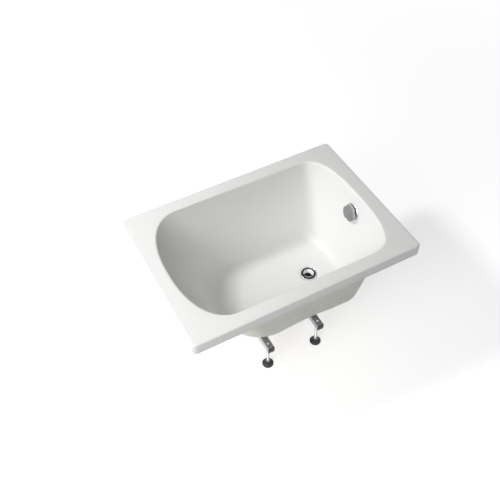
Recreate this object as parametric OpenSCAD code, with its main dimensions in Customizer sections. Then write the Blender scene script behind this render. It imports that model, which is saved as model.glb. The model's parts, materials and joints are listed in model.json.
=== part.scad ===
// Small drop-in bath with a rotary pop-up waste and overflow.
// Origin: on the floor under the middle of the rim. +X runs to the foot end, which carries the waste and
// the overflow, +Y to the back, +Z up.

/* [Rim] */
// Length of the rim, outside
rim_length = 1000; // [950:10:1150]
// Width of the rim, outside
rim_width = 700; // [680:10:800]
// Height of the turned-down lip
lip_height = 50; // [35:1:60]
// Radius of the rim's corners in plan
corner_radius = 18; // [12:1:30]
// Radius between the deck and the lip
edge_radius = 7; // [6:0.5:9]
// Width of the deck at the head end
deck_head = 62; // [60:1:80]
// Width of the deck at the foot end
deck_foot = 68; // [66:1:80]
// Width of the deck along each side
deck_side = 60; // [60:1:70]
// Radius where the deck rolls into the bowl
roll_radius = 12; // [10:0.5:14]

/* [Bowl] */
// Depth of the bowl at the waste
bath_depth = 390; // [360:5:430]
// Height of the bowl's floor above the ground, at the waste
floor_height = 190; // [185:1:240]
// Slope of the side walls from upright, in degrees
side_slope = 10; // [6:0.5:12]
// Slope of the backrest from upright, in degrees
head_slope = 27; // [22:0.5:29]
// Slope of the foot end wall from upright, in degrees
foot_slope = 10; // [8:0.5:12]
// Length of the bowed head end of the opening
head_bow = 168; // [140:2:190]
// Length of the rounded foot end of the opening
foot_bow = 132; // [110:2:150]
// Length of the bowed head end of the floor
floor_head_bow = 165; // [140:2:190]
// Length of the rounded foot end of the floor
floor_foot_bow = 105; // [90:1:120]
// Fillet between the floor and the side walls
side_fillet = 65; // [50:1:75]
// Fillet between the floor and the backrest
head_fillet = 130; // [100:2:150]
// Fillet between the floor and the foot end wall
foot_fillet = 50; // [40:1:60]
// How far the floor falls to the waste
floor_fall = 3; // [1:0.5:5]
// Thickness of the white sheet
sheet_t = 5; // [4:0.25:5.5]
// Thickness of the glass-fibre layer on the walls
backing_t = 3; // [2:0.25:3.5]

/* [Base and feet] */
// Thickness of the base board
board_t = 16; // [12:1:22]
// Length of the base board along the bath
board_length = 300; // [280:5:310]
// Width of the base board
board_width = 320; // [280:5:330]
// Thickness of the rim battens
batten_t = 18; // [12:1:24]
// Width of the rim battens
batten_w = 29; // [20:1:30]
// Side of the square leg tubes
bar_side = 30; // [28:1:34]
// Wall of the square leg tubes
bar_wall = 1.5; // [1.2:0.1:2.5]
// Length of the leg tubes
bar_length = 500; // [485:5:520]
// Distance between the two leg tubes
bar_spacing = 244; // [230:2:250]
// Distance of the feet from the ends of the leg tubes
foot_inset = 27; // [25:1:30]
// Diameter of the foot studs
stud_d = 12; // [10:1:13]
// Diameter of the foot pads
pad_d = 50; // [40:1:56]
// How far each foot screws up or down from its middle
foot_travel = 20; // [10:1:22]

/* [Waste and overflow] */
// Distance of the waste from the foot end of the opening
waste_inset = 217; // [210:1:222]
// Diameter of the waste hole in the sheet
waste_hole_d = 52; // [51:0.5:54]
// Diameter of the chromed flange
flange_d = 72; // [70:0.5:74]
// Diameter of the plug
plug_d = 50; // [48:0.5:52]
// How far the plug lifts
plug_lift = 9; // [6:0.5:10]
// Depth of the overflow's middle below the rim
overflow_depth = 92; // [88:1:110]
// Diameter of the overflow hole in the sheet
overflow_hole_d = 52; // [51:0.5:54]
// Diameter of the overflow rosette
rosette_d = 86; // [82:1:90]
// Diameter of the knob
knob_d = 76; // [68:1:80]
// How far the knob's face stands off the wall
knob_reach = 22; // [20:0.5:30]
// Quarter turn of the knob, in degrees
knob_turn = 90; // [80:1:100]
// Outside diameter of the shoe tube and of the trap tube
tube_d = 40; // [38:1:42]
// Outside diameter of the overflow pipe
pipe_d = 32; // [30:1:34]
// Wall of the plastic tubes
tube_wall = 2.2; // [1.8:0.1:2.6]
// Distance of the overflow pipe beyond the foot end of the opening
pipe_offset = 18; // [16:1:22]
// Radius of the trap's bends, at the middle of the tube
trap_bend_r = 26; // [24:0.5:28]
// Depth of water that the trap holds back
water_seal = 50; // [40:1:52]

/* [Clearances] */
// Gap between bonded layers
bond_gap = 0.2; // [0.1:0.05:0.4]
// Radial gap of a shaft or stem in its bore
running_gap = 0.05; // [0.02:0.01:0.1]
// Gap between pieces that push on each other
push_gap = 0.3; // [0.2:0.05:0.6]
// Radial gap of a tube or a screw in its socket or hole
slip_gap = 0.3; // [0.2:0.05:0.6]

/* [Hidden] */
$fn = 72;
tiny = 0.01;

// Colours
acrylic = [0.93, 0.93, 0.92];
glass_fibre = [0.80, 0.80, 0.72];
chipboard = [0.76, 0.62, 0.42];
timber = [0.80, 0.66, 0.45];
zinc = [0.70, 0.71, 0.73];
chrome = [0.82, 0.83, 0.85];
black_rubber = [0.10, 0.10, 0.10];
white_plastic = [0.90, 0.90, 0.88];
black_plastic = [0.13, 0.13, 0.14];

// Heights
rim_z = floor_height + bath_depth;
seat_depth = 6;
seat_r = flange_d / 2 + 3;
seat_z = floor_height - seat_depth;
backing_out = sheet_t + bond_gap + backing_t;
backing_z = seat_z - backing_out;
board_z = backing_z - board_t;
bar_z = board_z - bar_side;

// Loft: points round each half end, on each side and in each arc of the section
end_steps = 24;
side_steps = 6;
ring_n = 2 * (end_steps + side_steps);
fillet_steps = 6;
roll_steps = 4;
edge_steps = 4;
head_power = 2.3;
foot_power = 2.8;
floor_head_power = 2.1;
floor_foot_power = 2.6;

opening_head = -rim_length / 2 + deck_head;
opening_foot = rim_length / 2 - deck_foot;
opening_side = rim_width / 2 - deck_side;
floor_head = opening_head + bath_depth * tan(head_slope);
floor_foot = opening_foot - bath_depth * tan(foot_slope);
floor_side = opening_side - bath_depth * tan(side_slope);
waste_x = opening_foot - waste_inset;
pipe_x = opening_foot + pipe_offset;
foot_y = bar_length / 2 - foot_inset;

function signed_power(v, p) = sign(v) * pow(abs(v), p);

// One point of a bowed outline. Index 0 starts the head end at the front, and the points run clockwise
// seen from above: head end, back side, foot end, front side.
function bowed(i, head, foot, side, bow_h, bow_f, pow_h, pow_f) =
  i < end_steps ? let (a = -90 + 180 * i / end_steps)
    [head + bow_h - bow_h * signed_power(cos(a), 2 / pow_h), side * signed_power(sin(a), 2 / pow_h)] :
  i < end_steps + side_steps ? let (t = (i - end_steps) / side_steps)
    [head + bow_h + (foot - bow_f - head - bow_h) * t, side] :
  i < 2 * end_steps + side_steps ? let (a = 90 - 180 * (i - end_steps - side_steps) / end_steps)
    [foot - bow_f + bow_f * signed_power(cos(a), 2 / pow_f), side * signed_power(sin(a), 2 / pow_f)] :
  let (t = (i - 2 * end_steps - side_steps) / side_steps)
    [foot - bow_f + (head + bow_h - foot + bow_f) * t, -side];

opening = [for (i = [0:ring_n - 1])
  bowed(i, opening_head, opening_foot, opening_side, head_bow, foot_bow, head_power, foot_power)];
floor_line = [for (i = [0:ring_n - 1])
  bowed(i, floor_head, floor_foot, floor_side, floor_head_bow, floor_foot_bow,
    floor_head_power, floor_foot_power)];

// Height of the floor's face at a point: it rises away from the waste
function floor_z(p) = floor_height + floor_fall * min(1, norm(p - [waste_x, 0]) / 450);

// Fillet radius at a section, blended between the ends and the sides by the way the section faces
function fillet_at(i) = let (d = opening[i] - floor_line[i], c = d[0] / norm(d))
  side_fillet + (c < 0 ? head_fillet - side_fillet : foot_fillet - side_fillet) * c * c;

// The section of the bowl at index i, moved out by e from the bowl's face. flat_z, where it is given,
// is a level underside.
function section(i, e, flat_z) =
  let (o = opening[i], v = floor_line[i], run = norm(v - o), u = (v - o) / run,
    bottom = is_undef(flat_z) ? floor_z(v) - e : flat_z,
    slope = atan(run / (rim_z - floor_z(v))),
    shift = -e / cos(slope),
    top_h = shift + e * tan(slope),
    bottom_h = shift + (rim_z - bottom) * tan(slope),
    half = tan((90 - slope) / 2),
    rf = fillet_at(i) + e,
    rr = roll_radius - e)
  [for (k = [0:fillet_steps]) let (q = 90 - (90 - slope) * k / fillet_steps)
      [o + u * (bottom_h + rf * half - rf * cos(q)), bottom + rf - rf * sin(q)],
   for (k = [0:roll_steps]) let (q = slope + (90 - slope) * k / roll_steps)
      [o + u * (top_h - rr * half + rr * cos(q)), rim_z - e - rr + rr * sin(q)]];

function lift(p, z) = [p[0], p[1], z];
function bowl_rings(e, flat_z) =
  let (s = [for (i = [0:ring_n - 1]) section(i, e, flat_z)])
  [for (k = [0:fillet_steps + roll_steps + 1]) [for (i = [0:ring_n - 1]) lift(s[i][k][0], s[i][k][1])]];

// A circle about the waste, with its points in step with the outlines
function waste_ring(r, z) = [for (i = [0:ring_n - 1])
  let (a = 270 - 360 * i / ring_n) [waste_x + r * cos(a), r * sin(a), z]];

// The rim's outline, moved in by m, with each corner's arc in step with the outlines
arc_steps = 4;
arc_start = (end_steps / 2 - arc_steps) / 2;
function rim_half(j, sx, m) =
  let (x0 = rim_length / 2 - m, y0 = rim_width / 2 - m, r = max(corner_radius - m, 0.6),
    bow_x = sx < 0 ? abs(opening_head + head_bow) : opening_foot - foot_bow)
  j <= arc_start ? [sx * (bow_x + (x0 - r - bow_x) * j / arc_start), y0] :
  j <= arc_start + arc_steps ? let (a = 90 - 90 * (j - arc_start) / arc_steps)
    [sx * (x0 - r + r * cos(a)), y0 - r + r * sin(a)] :
  [sx * x0, (y0 - r) * (end_steps / 2 - j) / (end_steps / 2 - arc_start - arc_steps)];
function rim_point(i, m) =
  i < end_steps / 2 ? let (p = rim_half(i, -1, m)) [p[0], -p[1]] :
  i < end_steps ? rim_half(end_steps - i, -1, m) :
  i < end_steps + side_steps ? let (t = (i - end_steps) / side_steps, a = rim_half(0, -1, m),
    b = rim_half(0, 1, m)) a + (b - a) * t :
  i < end_steps * 1.5 + side_steps ? rim_half(i - end_steps - side_steps, 1, m) :
  i < 2 * end_steps + side_steps ? let (p = rim_half(2 * end_steps + side_steps - i, 1, m)) [p[0], -p[1]] :
  let (t = (i - 2 * end_steps - side_steps) / side_steps, a = rim_half(0, 1, m),
    b = rim_half(0, -1, m), p = a + (b - a) * t) [p[0], -p[1]];
function rim_ring(m, z) = [for (i = [0:ring_n - 1]) lift(rim_point(i, m), z)];

// A closed solid through rings of ring_n points, with a flat cap on its first and its last ring. From ring
// back_from on, the rings run back, so the other diagonal splits their faces and both sides match.
module lofted(rings, back_from) {
  points = [for (ring = rings) each ring];
  last = len(rings) - 1;
  caps = [[for (i = [0:ring_n - 1]) i], [for (i = [ring_n - 1:-1:0]) last * ring_n + i]];
  sides = [for (k = [0:last - 1]) for (i = [0:ring_n - 1])
    let (j = (i + 1) % ring_n, a = k * ring_n + i, b = k * ring_n + j, c = a + ring_n, d = b + ring_n)
    each k < back_from ? [[a, c, b], [b, c, d]] : [[a, c, d], [a, d, b]]];
  polyhedron(points = points, faces = concat(caps, sides), convexity = 10);
}

// Overflow frame: its origin on the bowl's face, +Z into the bowl, +Y along the bath's width
overflow_z = rim_z - overflow_depth;
overflow_x = opening_foot - overflow_depth * tan(foot_slope);
module at_overflow() {
  translate([overflow_x, 0, overflow_z]) rotate([0, -(90 - foot_slope), 0]) children();
}
// A tube and a disc between two heights
module ring(r_out, r_in, z0, z1) {
  rotate_extrude() translate([r_in, z0]) square([r_out - r_in, z1 - z0]);
}
module disc(r, z0, z1) {
  translate([0, 0, z0]) cylinder(r = r, h = z1 - z0);
}

module tub_shell() color(acrylic) {
  under = concat(
    [for (k = [edge_steps:-1:0]) let (q = 90 * k / edge_steps, r = edge_radius - sheet_t)
      rim_ring(sheet_t + r * (1 - sin(q)), rim_z - sheet_t - r * (1 - cos(q)))]);
  edge = [for (k = [0:edge_steps]) let (q = 90 * k / edge_steps)
    rim_ring(edge_radius * (1 - sin(q)), rim_z - edge_radius * (1 - cos(q)))];
  inner = bowl_rings(0, undef);
  outer = bowl_rings(sheet_t, undef);
  rings = concat(
    [waste_ring(seat_r, seat_z), waste_ring(seat_r + seat_depth, floor_height)],
    inner, edge,
    [rim_ring(0, rim_z - lip_height), rim_ring(sheet_t, rim_z - lip_height)],
    under,
    [for (k = [len(outer) - 1:-1:0]) outer[k]],
    [waste_ring(seat_r + seat_depth + sheet_t, floor_height - sheet_t),
     waste_ring(seat_r + sheet_t, seat_z - sheet_t)]);
  difference() {
    lofted(rings, 2 + len(inner) + len(edge) + 2);
    translate([waste_x, 0, seat_z - 2 * sheet_t]) cylinder(d = waste_hole_d, h = 4 * sheet_t);
    at_overflow() disc(overflow_hole_d / 2, -30, 30);
  }
}

// The backing laps under the deck as far as the battens
lap = 8;
module fibreglass_backing() color(glass_fibre) {
  e_in = sheet_t + bond_gap;
  inner = bowl_rings(e_in, undef);
  outer = bowl_rings(backing_out, backing_z);
  top = inner[len(inner) - 1];
  low = outer[len(outer) - 1];
  lap_out = [for (i = [0:ring_n - 1]) let (d = opening[i] - floor_line[i]) lap * d / norm(d)];
  rings = concat(
    [waste_ring(seat_r + e_in, seat_z - e_in), waste_ring(seat_r + seat_depth + e_in, floor_height - e_in)],
    inner,
    [[for (i = [0:ring_n - 1]) top[i] + lift(lap_out[i], 0)],
     [for (i = [0:ring_n - 1]) lift(top[i] + lift(lap_out[i], 0), low[i][2])]],
    [for (k = [len(outer) - 1:-1:0]) outer[k]],
    [waste_ring(seat_r + backing_out, backing_z)]);
  difference() {
    lofted(rings, 2 + len(inner) + 1);
    translate([waste_x, 0, backing_z - 5]) cylinder(d = waste_hole_d, h = 20);
    at_overflow() disc(overflow_hole_d / 2, -30, 0);
  }
}

board_x1 = waste_x - 55;
bar_mid = board_x1 - 35 - bar_spacing / 2;
board_x0 = board_x1 - board_length;
module base_board() color(chipboard)
  translate([board_x0, -board_width / 2, board_z]) cube([board_length, board_width, board_t]);

// Battens lie against the deck's underside, just inside the lip
batten_z = rim_z - sheet_t - batten_t;
batten_in = edge_radius + 1;
module long_batten(y) {
  length = rim_length - 2 * (corner_radius + 6);
  translate([-length / 2, y, batten_z]) cube([length, batten_w, batten_t]);
}
module end_batten(x) {
  length = rim_width - 2 * (batten_in + batten_w + 1);
  translate([x, -length / 2, batten_z]) cube([batten_w, length, batten_t]);
}
module rim_batten_front() color(timber) long_batten(-rim_width / 2 + batten_in);
module rim_batten_back() color(timber) long_batten(rim_width / 2 - batten_in - batten_w);
module rim_batten_left() color(timber) end_batten(-rim_length / 2 + batten_in);
module rim_batten_right() color(timber) end_batten(rim_length / 2 - batten_in - batten_w);

// Leg tubes, with holes for the studs' nuts and for the wood screws
screw_d = 5;
screw_y = [-130, -60, 60, 130];
nut_body_d = stud_d + 6;
module leg_bar(x) {
  difference() {
    translate([x - bar_side / 2, -bar_length / 2, bar_z]) cube([bar_side, bar_length, bar_side]);
    translate([x - bar_side / 2 + bar_wall, -bar_length / 2 - 1, bar_z + bar_wall])
      cube([bar_side - 2 * bar_wall, bar_length + 2, bar_side - 2 * bar_wall]);
    for (s = [-1, 1]) translate([x, s * foot_y, bar_z - 1]) {
      cylinder(d = nut_body_d + 2 * slip_gap, h = bar_wall + 2);
      translate([0, 0, bar_side / 2]) cylinder(d = stud_d + 2, h = bar_side);
    }
    for (y = screw_y) translate([x, y, bar_z - 1]) {
      cylinder(d = 2 * screw_d + 3, h = bar_wall + 2);
      cylinder(d = screw_d + 2 * slip_gap, h = bar_side + 2);
    }
  }
}
module leg_bar_left() color(zinc) leg_bar(bar_mid - bar_spacing / 2);
module leg_bar_right() color(zinc) leg_bar(bar_mid + bar_spacing / 2);
module at_bars() for (s = [-1, 1]) translate([bar_mid + s * bar_spacing / 2, 0, 0]) children();

// Pan-head screws stand on the inside of the tube's upper wall and bite into the board
screw_bite = board_t - 4;
head_z = bar_z + bar_side - bar_wall;
module at_screws() at_bars() for (y = screw_y) translate([0, y, head_z]) children();
module bar_screws() color(zinc) at_screws() {
  cylinder(d = screw_d, h = bar_wall + screw_bite);
  translate([0, 0, -3]) difference() {
    cylinder(d1 = 6.5, d2 = 9.5, h = 3);
    translate([0, 0, -tiny]) cylinder(d = 3.5, h = 1.6, $fn = 6);
  }
}
module bar_end_caps() color(black_plastic) at_bars() for (s = [-1, 1]) scale([1, s, 1])
  translate([0, bar_length / 2, bar_z + bar_side / 2]) {
    translate([-bar_side / 2, 0, -bar_side / 2]) cube([bar_side, 3, bar_side]);
    inside = bar_side - 2 * bar_wall - 2 * slip_gap;
    translate([-inside / 2, -10, -inside / 2]) cube([inside, 10 + tiny, inside]);
  }

// Feet
foot_x = [bar_mid - bar_spacing / 2, bar_mid + bar_spacing / 2];
stud_r = stud_d / 2;
pad_h = 24;
lock_nut_h = 8;
nut_flange_t = 1.5;
nut_body_h = 14;
module at_foot(i, s) translate([foot_x[i], s * foot_y, 0]) children();
module each_foot() for (i = [0, 1]) for (s = [-1, 1]) at_foot(i, s) children();
module foot_nuts() color(zinc) each_foot() {
  ring(nut_body_d / 2, stud_r + running_gap, bar_z, bar_z + nut_body_h);
  ring(nut_body_d / 2 + 3, stud_r + running_gap, bar_z - nut_flange_t, bar_z);
}
module lock_nuts() color(zinc) each_foot() translate([0, 0, bar_z - nut_flange_t - lock_nut_h])
  difference() {
    cylinder(d = stud_d * 1.8, h = lock_nut_h, $fn = 6);
    translate([0, 0, -1]) cylinder(r = stud_r + running_gap, h = lock_nut_h + 2);
  }
module foot_stud() color(zinc) {
  top = bar_z + nut_body_h + foot_travel + 4;
  disc(stud_r, 8, top - 1);
  translate([0, 0, top - 1]) cylinder(r1 = stud_r, r2 = stud_r - 1, h = 1);
  translate([0, 0, pad_h]) cylinder(d = stud_d * 1.8, h = 7, $fn = 6);
}
module foot_pad() color(black_plastic) rotate_extrude() polygon([
  [0, 0], [pad_d / 2 - 1.5, 0], [pad_d / 2, 1.5], [pad_d / 2, 6], [pad_d / 2 - 5, 9], [stud_r + 5, 14],
  [stud_r + 5, pad_h], [stud_r + running_gap, pad_h], [stud_r + running_gap, 8], [0, 8]]);
module foot_stud_front_left() at_foot(0, -1) foot_stud();
module foot_stud_front_right() at_foot(1, -1) foot_stud();
module foot_stud_back_left() at_foot(0, 1) foot_stud();
module foot_stud_back_right() at_foot(1, 1) foot_stud();
module foot_pad_front_left() at_foot(0, -1) foot_pad();
module foot_pad_front_right() at_foot(1, -1) foot_pad();
module foot_pad_back_left() at_foot(0, 1) foot_pad();
module foot_pad_back_right() at_foot(1, 1) foot_pad();

// Waste: flange, seals and shoe, turned about the waste's axis
module at_waste() translate([waste_x, 0, 0]) children();
seal_t = 1;
gasket_t = 3;
neck_r = waste_hole_d / 2 - 2;
neck_bore_r = neck_r - 2.5;
flange_z = seat_z + seal_t;
lip_top = floor_height + 0.4;
cone_r = flange_d / 2 - 2.5;
cone_z = lip_top - 0.6;
cone_drop = 3.6;
cone_fall = cone_drop / (cone_r - neck_bore_r);
neck_bottom = backing_z - gasket_t - 14;
guide_r = 6;
guide_h = 9;
stem_r = 3;
module waste_flange() color(chrome) at_waste() {
  rotate_extrude() polygon([
    [neck_bore_r, neck_bottom], [neck_r, neck_bottom], [neck_r, flange_z], [flange_d / 2 - 0.6, flange_z],
    [flange_d / 2, flange_z + 0.6], [flange_d / 2, lip_top - 0.8], [flange_d / 2 - 0.8, lip_top],
    [cone_r + 0.7, lip_top],
    [cone_r, cone_z], [neck_bore_r, cone_z - cone_drop]]);
  difference() {
    union() {
      disc(guide_r, neck_bottom, neck_bottom + guide_h);
      for (a = [30, 150, 270]) rotate([0, 0, a])
        translate([guide_r - 1, -1.25, neck_bottom]) cube([neck_bore_r - guide_r + 1.8, 2.5, 5]);
    }
    disc(stem_r + running_gap, neck_bottom - 1, neck_bottom + guide_h + 1);
  }
}
module flange_seal() color(black_rubber) at_waste() ring(flange_d / 2 - 2, neck_r + slip_gap, seat_z, flange_z);
module shoe_gasket() color(black_rubber) at_waste()
  ring(waste_hole_d / 2 + 12, neck_r + slip_gap, backing_z - gasket_t, backing_z);

// Shoe: a cup under the waste and a level tube that runs to the tee
tube_r = tube_d / 2;
tube_bore_r = tube_r - tube_wall;
shoe_top = backing_z - gasket_t;
cup_r = neck_r + 5;
cup_bore_r = neck_r + slip_gap;
shoe_z = shoe_top - 8 - tube_r;
cup_bottom = shoe_z - tube_r - 2;
shoe_end = pipe_x - tube_r - 16;
pin_r = 2.5;
pin_half = tube_r + 4;
pivot_x = (waste_x + pipe_x) / 2;
module along_x(x0, x1, r) translate([x0, 0, shoe_z]) rotate([0, 90, 0]) cylinder(r = r, h = x1 - x0);
module across_pin(r, half) translate([pivot_x, -half, shoe_z]) rotate([-90, 0, 0]) cylinder(r = r, h = 2 * half);
module waste_shoe() color(white_plastic) difference() {
  union() {
    at_waste() {
      disc(cup_r, cup_bottom, shoe_top);
      disc(waste_hole_d / 2 + 12, shoe_top - 4, shoe_top);
    }
    along_x(waste_x, shoe_end, tube_r);
    across_pin(pin_r + 3.5, pin_half - 1);
  }
  at_waste() disc(cup_bore_r, cup_bottom + 3, shoe_top + 1);
  along_x(waste_x, shoe_end + 1, tube_bore_r);
  across_pin(pin_r + running_gap, pin_half + 1);
}
module rocker_pin() color(zinc) across_pin(pin_r, pin_half);

// Rocker: as it rests, its waste end hangs low and its rod end stands high by half the travel
arm = pivot_x - waste_x;
rocker_turn = asin(plug_lift / arm);
rest_tilt = rocker_turn / 2;
lever_h = 8;
lever_w = 5;
pad_r = 5;
tip_low = arm * sin(rest_tilt);
stem_foot_z = shoe_z - tip_low + lever_h / 2 + push_gap;
rod_foot_z = shoe_z + tip_low + lever_h / 2 + push_gap;
rod_travel = plug_lift;
module rocker_lever() color(zinc) translate([pivot_x, 0, shoe_z]) rotate([0, -rest_tilt, 0]) difference() {
  union() {
    translate([-arm, -lever_w / 2, -lever_h / 2]) cube([2 * arm, lever_w, lever_h - 1.5]);
    rotate([-90, 0, 0]) translate([0, 0, -lever_w / 2 - 1]) cylinder(r = pin_r + 4, h = lever_w + 2);
    for (s = [-1, 1]) translate([s * arm, 0, -lever_h / 2]) cylinder(r = pad_r, h = lever_h - 0.4);
  }
  rotate([-90, 0, 0]) translate([0, 0, -lever_w]) cylinder(r = pin_r + running_gap, h = 2 * lever_w);
}

// Plug: the cap and its seal on a stem that slides in the flange's guide
plug_r = plug_d / 2;
seal_r = plug_r - 1.2;
seal_z = cone_z - cone_fall * (cone_r - seal_r) + push_gap * sqrt(1 + cone_fall * cone_fall);
plug_seal_t = 2;
cap_z = seal_z + plug_seal_t;
dome_h = 3.6;
dome_r = (plug_r * plug_r + dome_h * dome_h) / (2 * dome_h);
module plug_cap() color(chrome) at_waste() {
  difference() {
    intersection() {
      translate([0, 0, cap_z + 1.4 + dome_h - dome_r]) sphere(r = dome_r, $fn = 200);
      disc(plug_r, cap_z, cap_z + 20);
    }
    disc(stem_r + running_gap, cap_z - 1, cap_z + 3);
  }
}
module plug_seal() color(black_rubber) at_waste() ring(seal_r, stem_r + slip_gap, seal_z, cap_z);
nut_top = seal_z;
module plug_stem() color(chrome) at_waste() {
  disc(stem_r, stem_foot_z + 1, cap_z + 3);
  translate([0, 0, stem_foot_z]) cylinder(r1 = stem_r - 1, r2 = stem_r, h = 1);
}
module stem_nut() color(chrome) at_waste() difference() {
  translate([0, 0, nut_top - 4]) cylinder(r = stem_r * 1.9, h = 4, $fn = 6);
  disc(stem_r + running_gap, nut_top - 5, nut_top + 1);
}

// Tee under the overflow pipe: a socket towards the shoe, one up and a tail down into the trap
module at_pipe() translate([pipe_x, 0, 0]) children();
pipe_r = pipe_d / 2;
pipe_bore_r = pipe_r - tube_wall;
socket_wall = 3;
socket_r = tube_r + slip_gap + socket_wall;
socket_depth = 14;
socket_reach = 30;
tail_length = 26;
tee_top = shoe_z + tube_r + socket_depth + 2;
tee_bottom = shoe_z - tube_r - socket_wall;
tail_r = tube_bore_r - slip_gap;
tail_bore_r = tail_r - tube_wall;
tail_bottom = tee_bottom - tail_length;
socket_x = pipe_x - tube_r - socket_reach;
module waste_tee() color(white_plastic) difference() {
  union() {
    at_pipe() {
      disc(tube_r + 2, tee_bottom, tee_top - socket_depth);
      disc(pipe_r + slip_gap + socket_wall, tee_bottom, tee_top);
      disc(tail_r, tail_bottom, tee_bottom + 1);
    }
    along_x(socket_x, pipe_x, socket_r);
  }
  at_pipe() {
    disc(tail_bore_r, tail_bottom - 1, tee_top);
    disc(tube_bore_r, tee_bottom + socket_wall, tee_top - socket_depth - 2);
    disc(pipe_r + slip_gap, tee_top - socket_depth, tee_top + 1);
  }
  along_x(socket_x - 1, shoe_end + 1, tube_r + slip_gap);
  along_x(shoe_end, pipe_x, tube_bore_r);
}

// A union nut with a lip: it grips a tube of radius r_tube and screws on a socket of radius r_socket
nut_wall = 3;
nut_lip = 3;
nut_grips = 12;
module union_nut(r_tube, r_socket, h) difference() {
  union() {
    disc(r_socket + nut_wall, 0, h);
    for (k = [0:nut_grips - 1]) rotate([0, 0, 360 * k / nut_grips])
      translate([r_socket + 1.6, -1.5, 1.5]) cube([2.6, 3, h - 3]);
  }
  disc(r_tube + slip_gap, -1, h + 1);
  disc(r_socket + slip_gap, -1, h - nut_lip);
}
shoe_nut_h = 16;
shoe_nut_grip = 12;
module shoe_nut() color(white_plastic) translate([socket_x + shoe_nut_grip, 0, shoe_z]) rotate([0, -90, 0])
  union_nut(tube_r, socket_r, shoe_nut_h);

// Overflow head: neck through the wall, bearing for the shaft, cup behind the wall, outlet downwards
wall_back = -backing_out;
head_front = wall_back - gasket_t;
head_neck_r = overflow_hole_d / 2 - 2;
head_bore_r = head_neck_r - 3;
head_cup_r = 32;
pipe_run = (pipe_x - overflow_x) / cos(foot_slope);
head_room = 16;
head_wall = 3;
head_back = -pipe_run - head_room;
shaft_r = 5;
bearing_r = 9;
bearing_back = head_front - 10;
spout_r = pipe_r + slip_gap + head_wall;
spout_drop = 62;
spout_depth = 16;
spout_bottom = overflow_z - spout_drop;
screw_off = 17;
lug_r = 5.5;
rosette_screw_r = 2;
module head_hull() {
  at_overflow() {
    disc(head_neck_r, head_front - 4, -2);
    disc(overflow_hole_d / 2 + 11, head_front - 4, head_front);
    disc(head_cup_r, head_back, head_front - head_wall);
  }
  at_pipe() disc(spout_r, spout_bottom, overflow_z - 12);
}
module head_hollow() {
  at_overflow() {
    disc(head_bore_r, head_front - 8, 0);
    disc(head_cup_r - head_wall, head_back + head_wall, head_front - 2 * head_wall);
  }
  at_pipe() disc(pipe_bore_r, spout_bottom + 10, overflow_z - 14);
}
module overflow_body() color(white_plastic) difference() {
  union() {
    difference() {
      head_hull();
      head_hollow();
    }
    at_overflow() {
      disc(bearing_r, bearing_back, -3);
      for (a = [0, 120, 240]) rotate([0, 0, a]) translate([bearing_r - 1, -1.5, bearing_back + 4.5])
        cube([head_bore_r - bearing_r + 2.2, 3, -4 - bearing_back - 4.5]);
      for (s = [-1, 1]) translate([0, s * screw_off, 0]) disc(lug_r, bearing_back + 4.5, -2.5);
    }
  }
  at_overflow() {
    disc(shaft_r + running_gap, bearing_back - 1, 0);
    for (s = [-1, 1]) translate([0, s * screw_off, 0])
      disc(rosette_screw_r + slip_gap, bearing_back + 6, 0);
  }
  at_pipe() disc(pipe_r + slip_gap, spout_bottom - 1, spout_bottom + spout_depth);
}
module overflow_gasket() color(black_rubber) at_overflow()
  ring(overflow_hole_d / 2 + 9, overflow_hole_d / 2, head_front, wall_back);

// Rosette: a domed ring on the wall, with a hub plate pierced for the water
rosette_r = rosette_d / 2;
plate_t = 1.8;
stand = 0.85;
plate_front = stand + plate_t;
crown_h = 5.8;
crown_inset = 9;
shoulder_h = 4.2;
shoulder_inset = 3;
water_hole_r = 4;
water_hole_off = 14;
module overflow_rosette() color(chrome) at_overflow() difference() {
  union() {
    rotate_extrude() polygon([
      [overflow_hole_d / 2 - 2, stand], [rosette_r - 0.5, stand], [rosette_r, stand + 0.6],
      [rosette_r - shoulder_inset, shoulder_h], [rosette_r - crown_inset, crown_h],
      [overflow_hole_d / 2 + 2, crown_h - 0.6],
      [overflow_hole_d / 2 - 2, plate_front]]);
    disc(overflow_hole_d / 2 - 1, stand, plate_front);
  }
  disc(shaft_r + 1, -1, 8);
  for (s = [-1, 1]) translate([0, s * screw_off, 0]) disc(rosette_screw_r + slip_gap, -1, 8);
  for (a = [35, 145, 215, 325]) rotate([0, 0, a]) translate([water_hole_off, 0, -1])
    cylinder(r = water_hole_r, h = 8);
}
module rosette_screws() color(zinc) at_overflow() for (s = [-1, 1]) translate([0, s * screw_off, 0]) {
  disc(rosette_screw_r, bearing_back + 7, plate_front);
  difference() {
    disc(3.8, plate_front, 4.6);
    translate([-0.5, -5, 3.8]) cube([1, 10, 2]);
  }
}

// Knob: a disc with three finger scallops and a hollow back, on the shaft
knob_r = knob_d / 2;
knob_t = 12;
knob_wall = 3;
edge_h = 2.5;
edge_layer = 0.8;
scallop_r = 16;
scallop_depth = 3.6;
hub_r = 10;
module knob_outline(r) difference() {
  circle(r = r);
  for (a = [30, 150, 270]) rotate(a)
    translate([r + scallop_r - scallop_depth, 0]) circle(r = scallop_r);
}
module overflow_knob() color(chrome) at_overflow() difference() {
  union() {
    difference() {
      translate([0, 0, knob_reach - knob_t]) linear_extrude(knob_t - edge_h) knob_outline(knob_r);
      translate([0, 0, knob_reach - knob_t - 1]) linear_extrude(knob_t - knob_wall) knob_outline(knob_r - knob_wall);
    }
    for (k = [0:2]) translate([0, 0, knob_reach - edge_h + k * edge_layer])
      linear_extrude(k == 2 ? edge_h - 2 * edge_layer : edge_layer) knob_outline(knob_r - 0.25 - k * k * 0.35);
    disc(hub_r, knob_reach - knob_t + 0.5, knob_reach - 2);
  }
  disc(shaft_r + running_gap, 0, knob_reach - 5);
}

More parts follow.
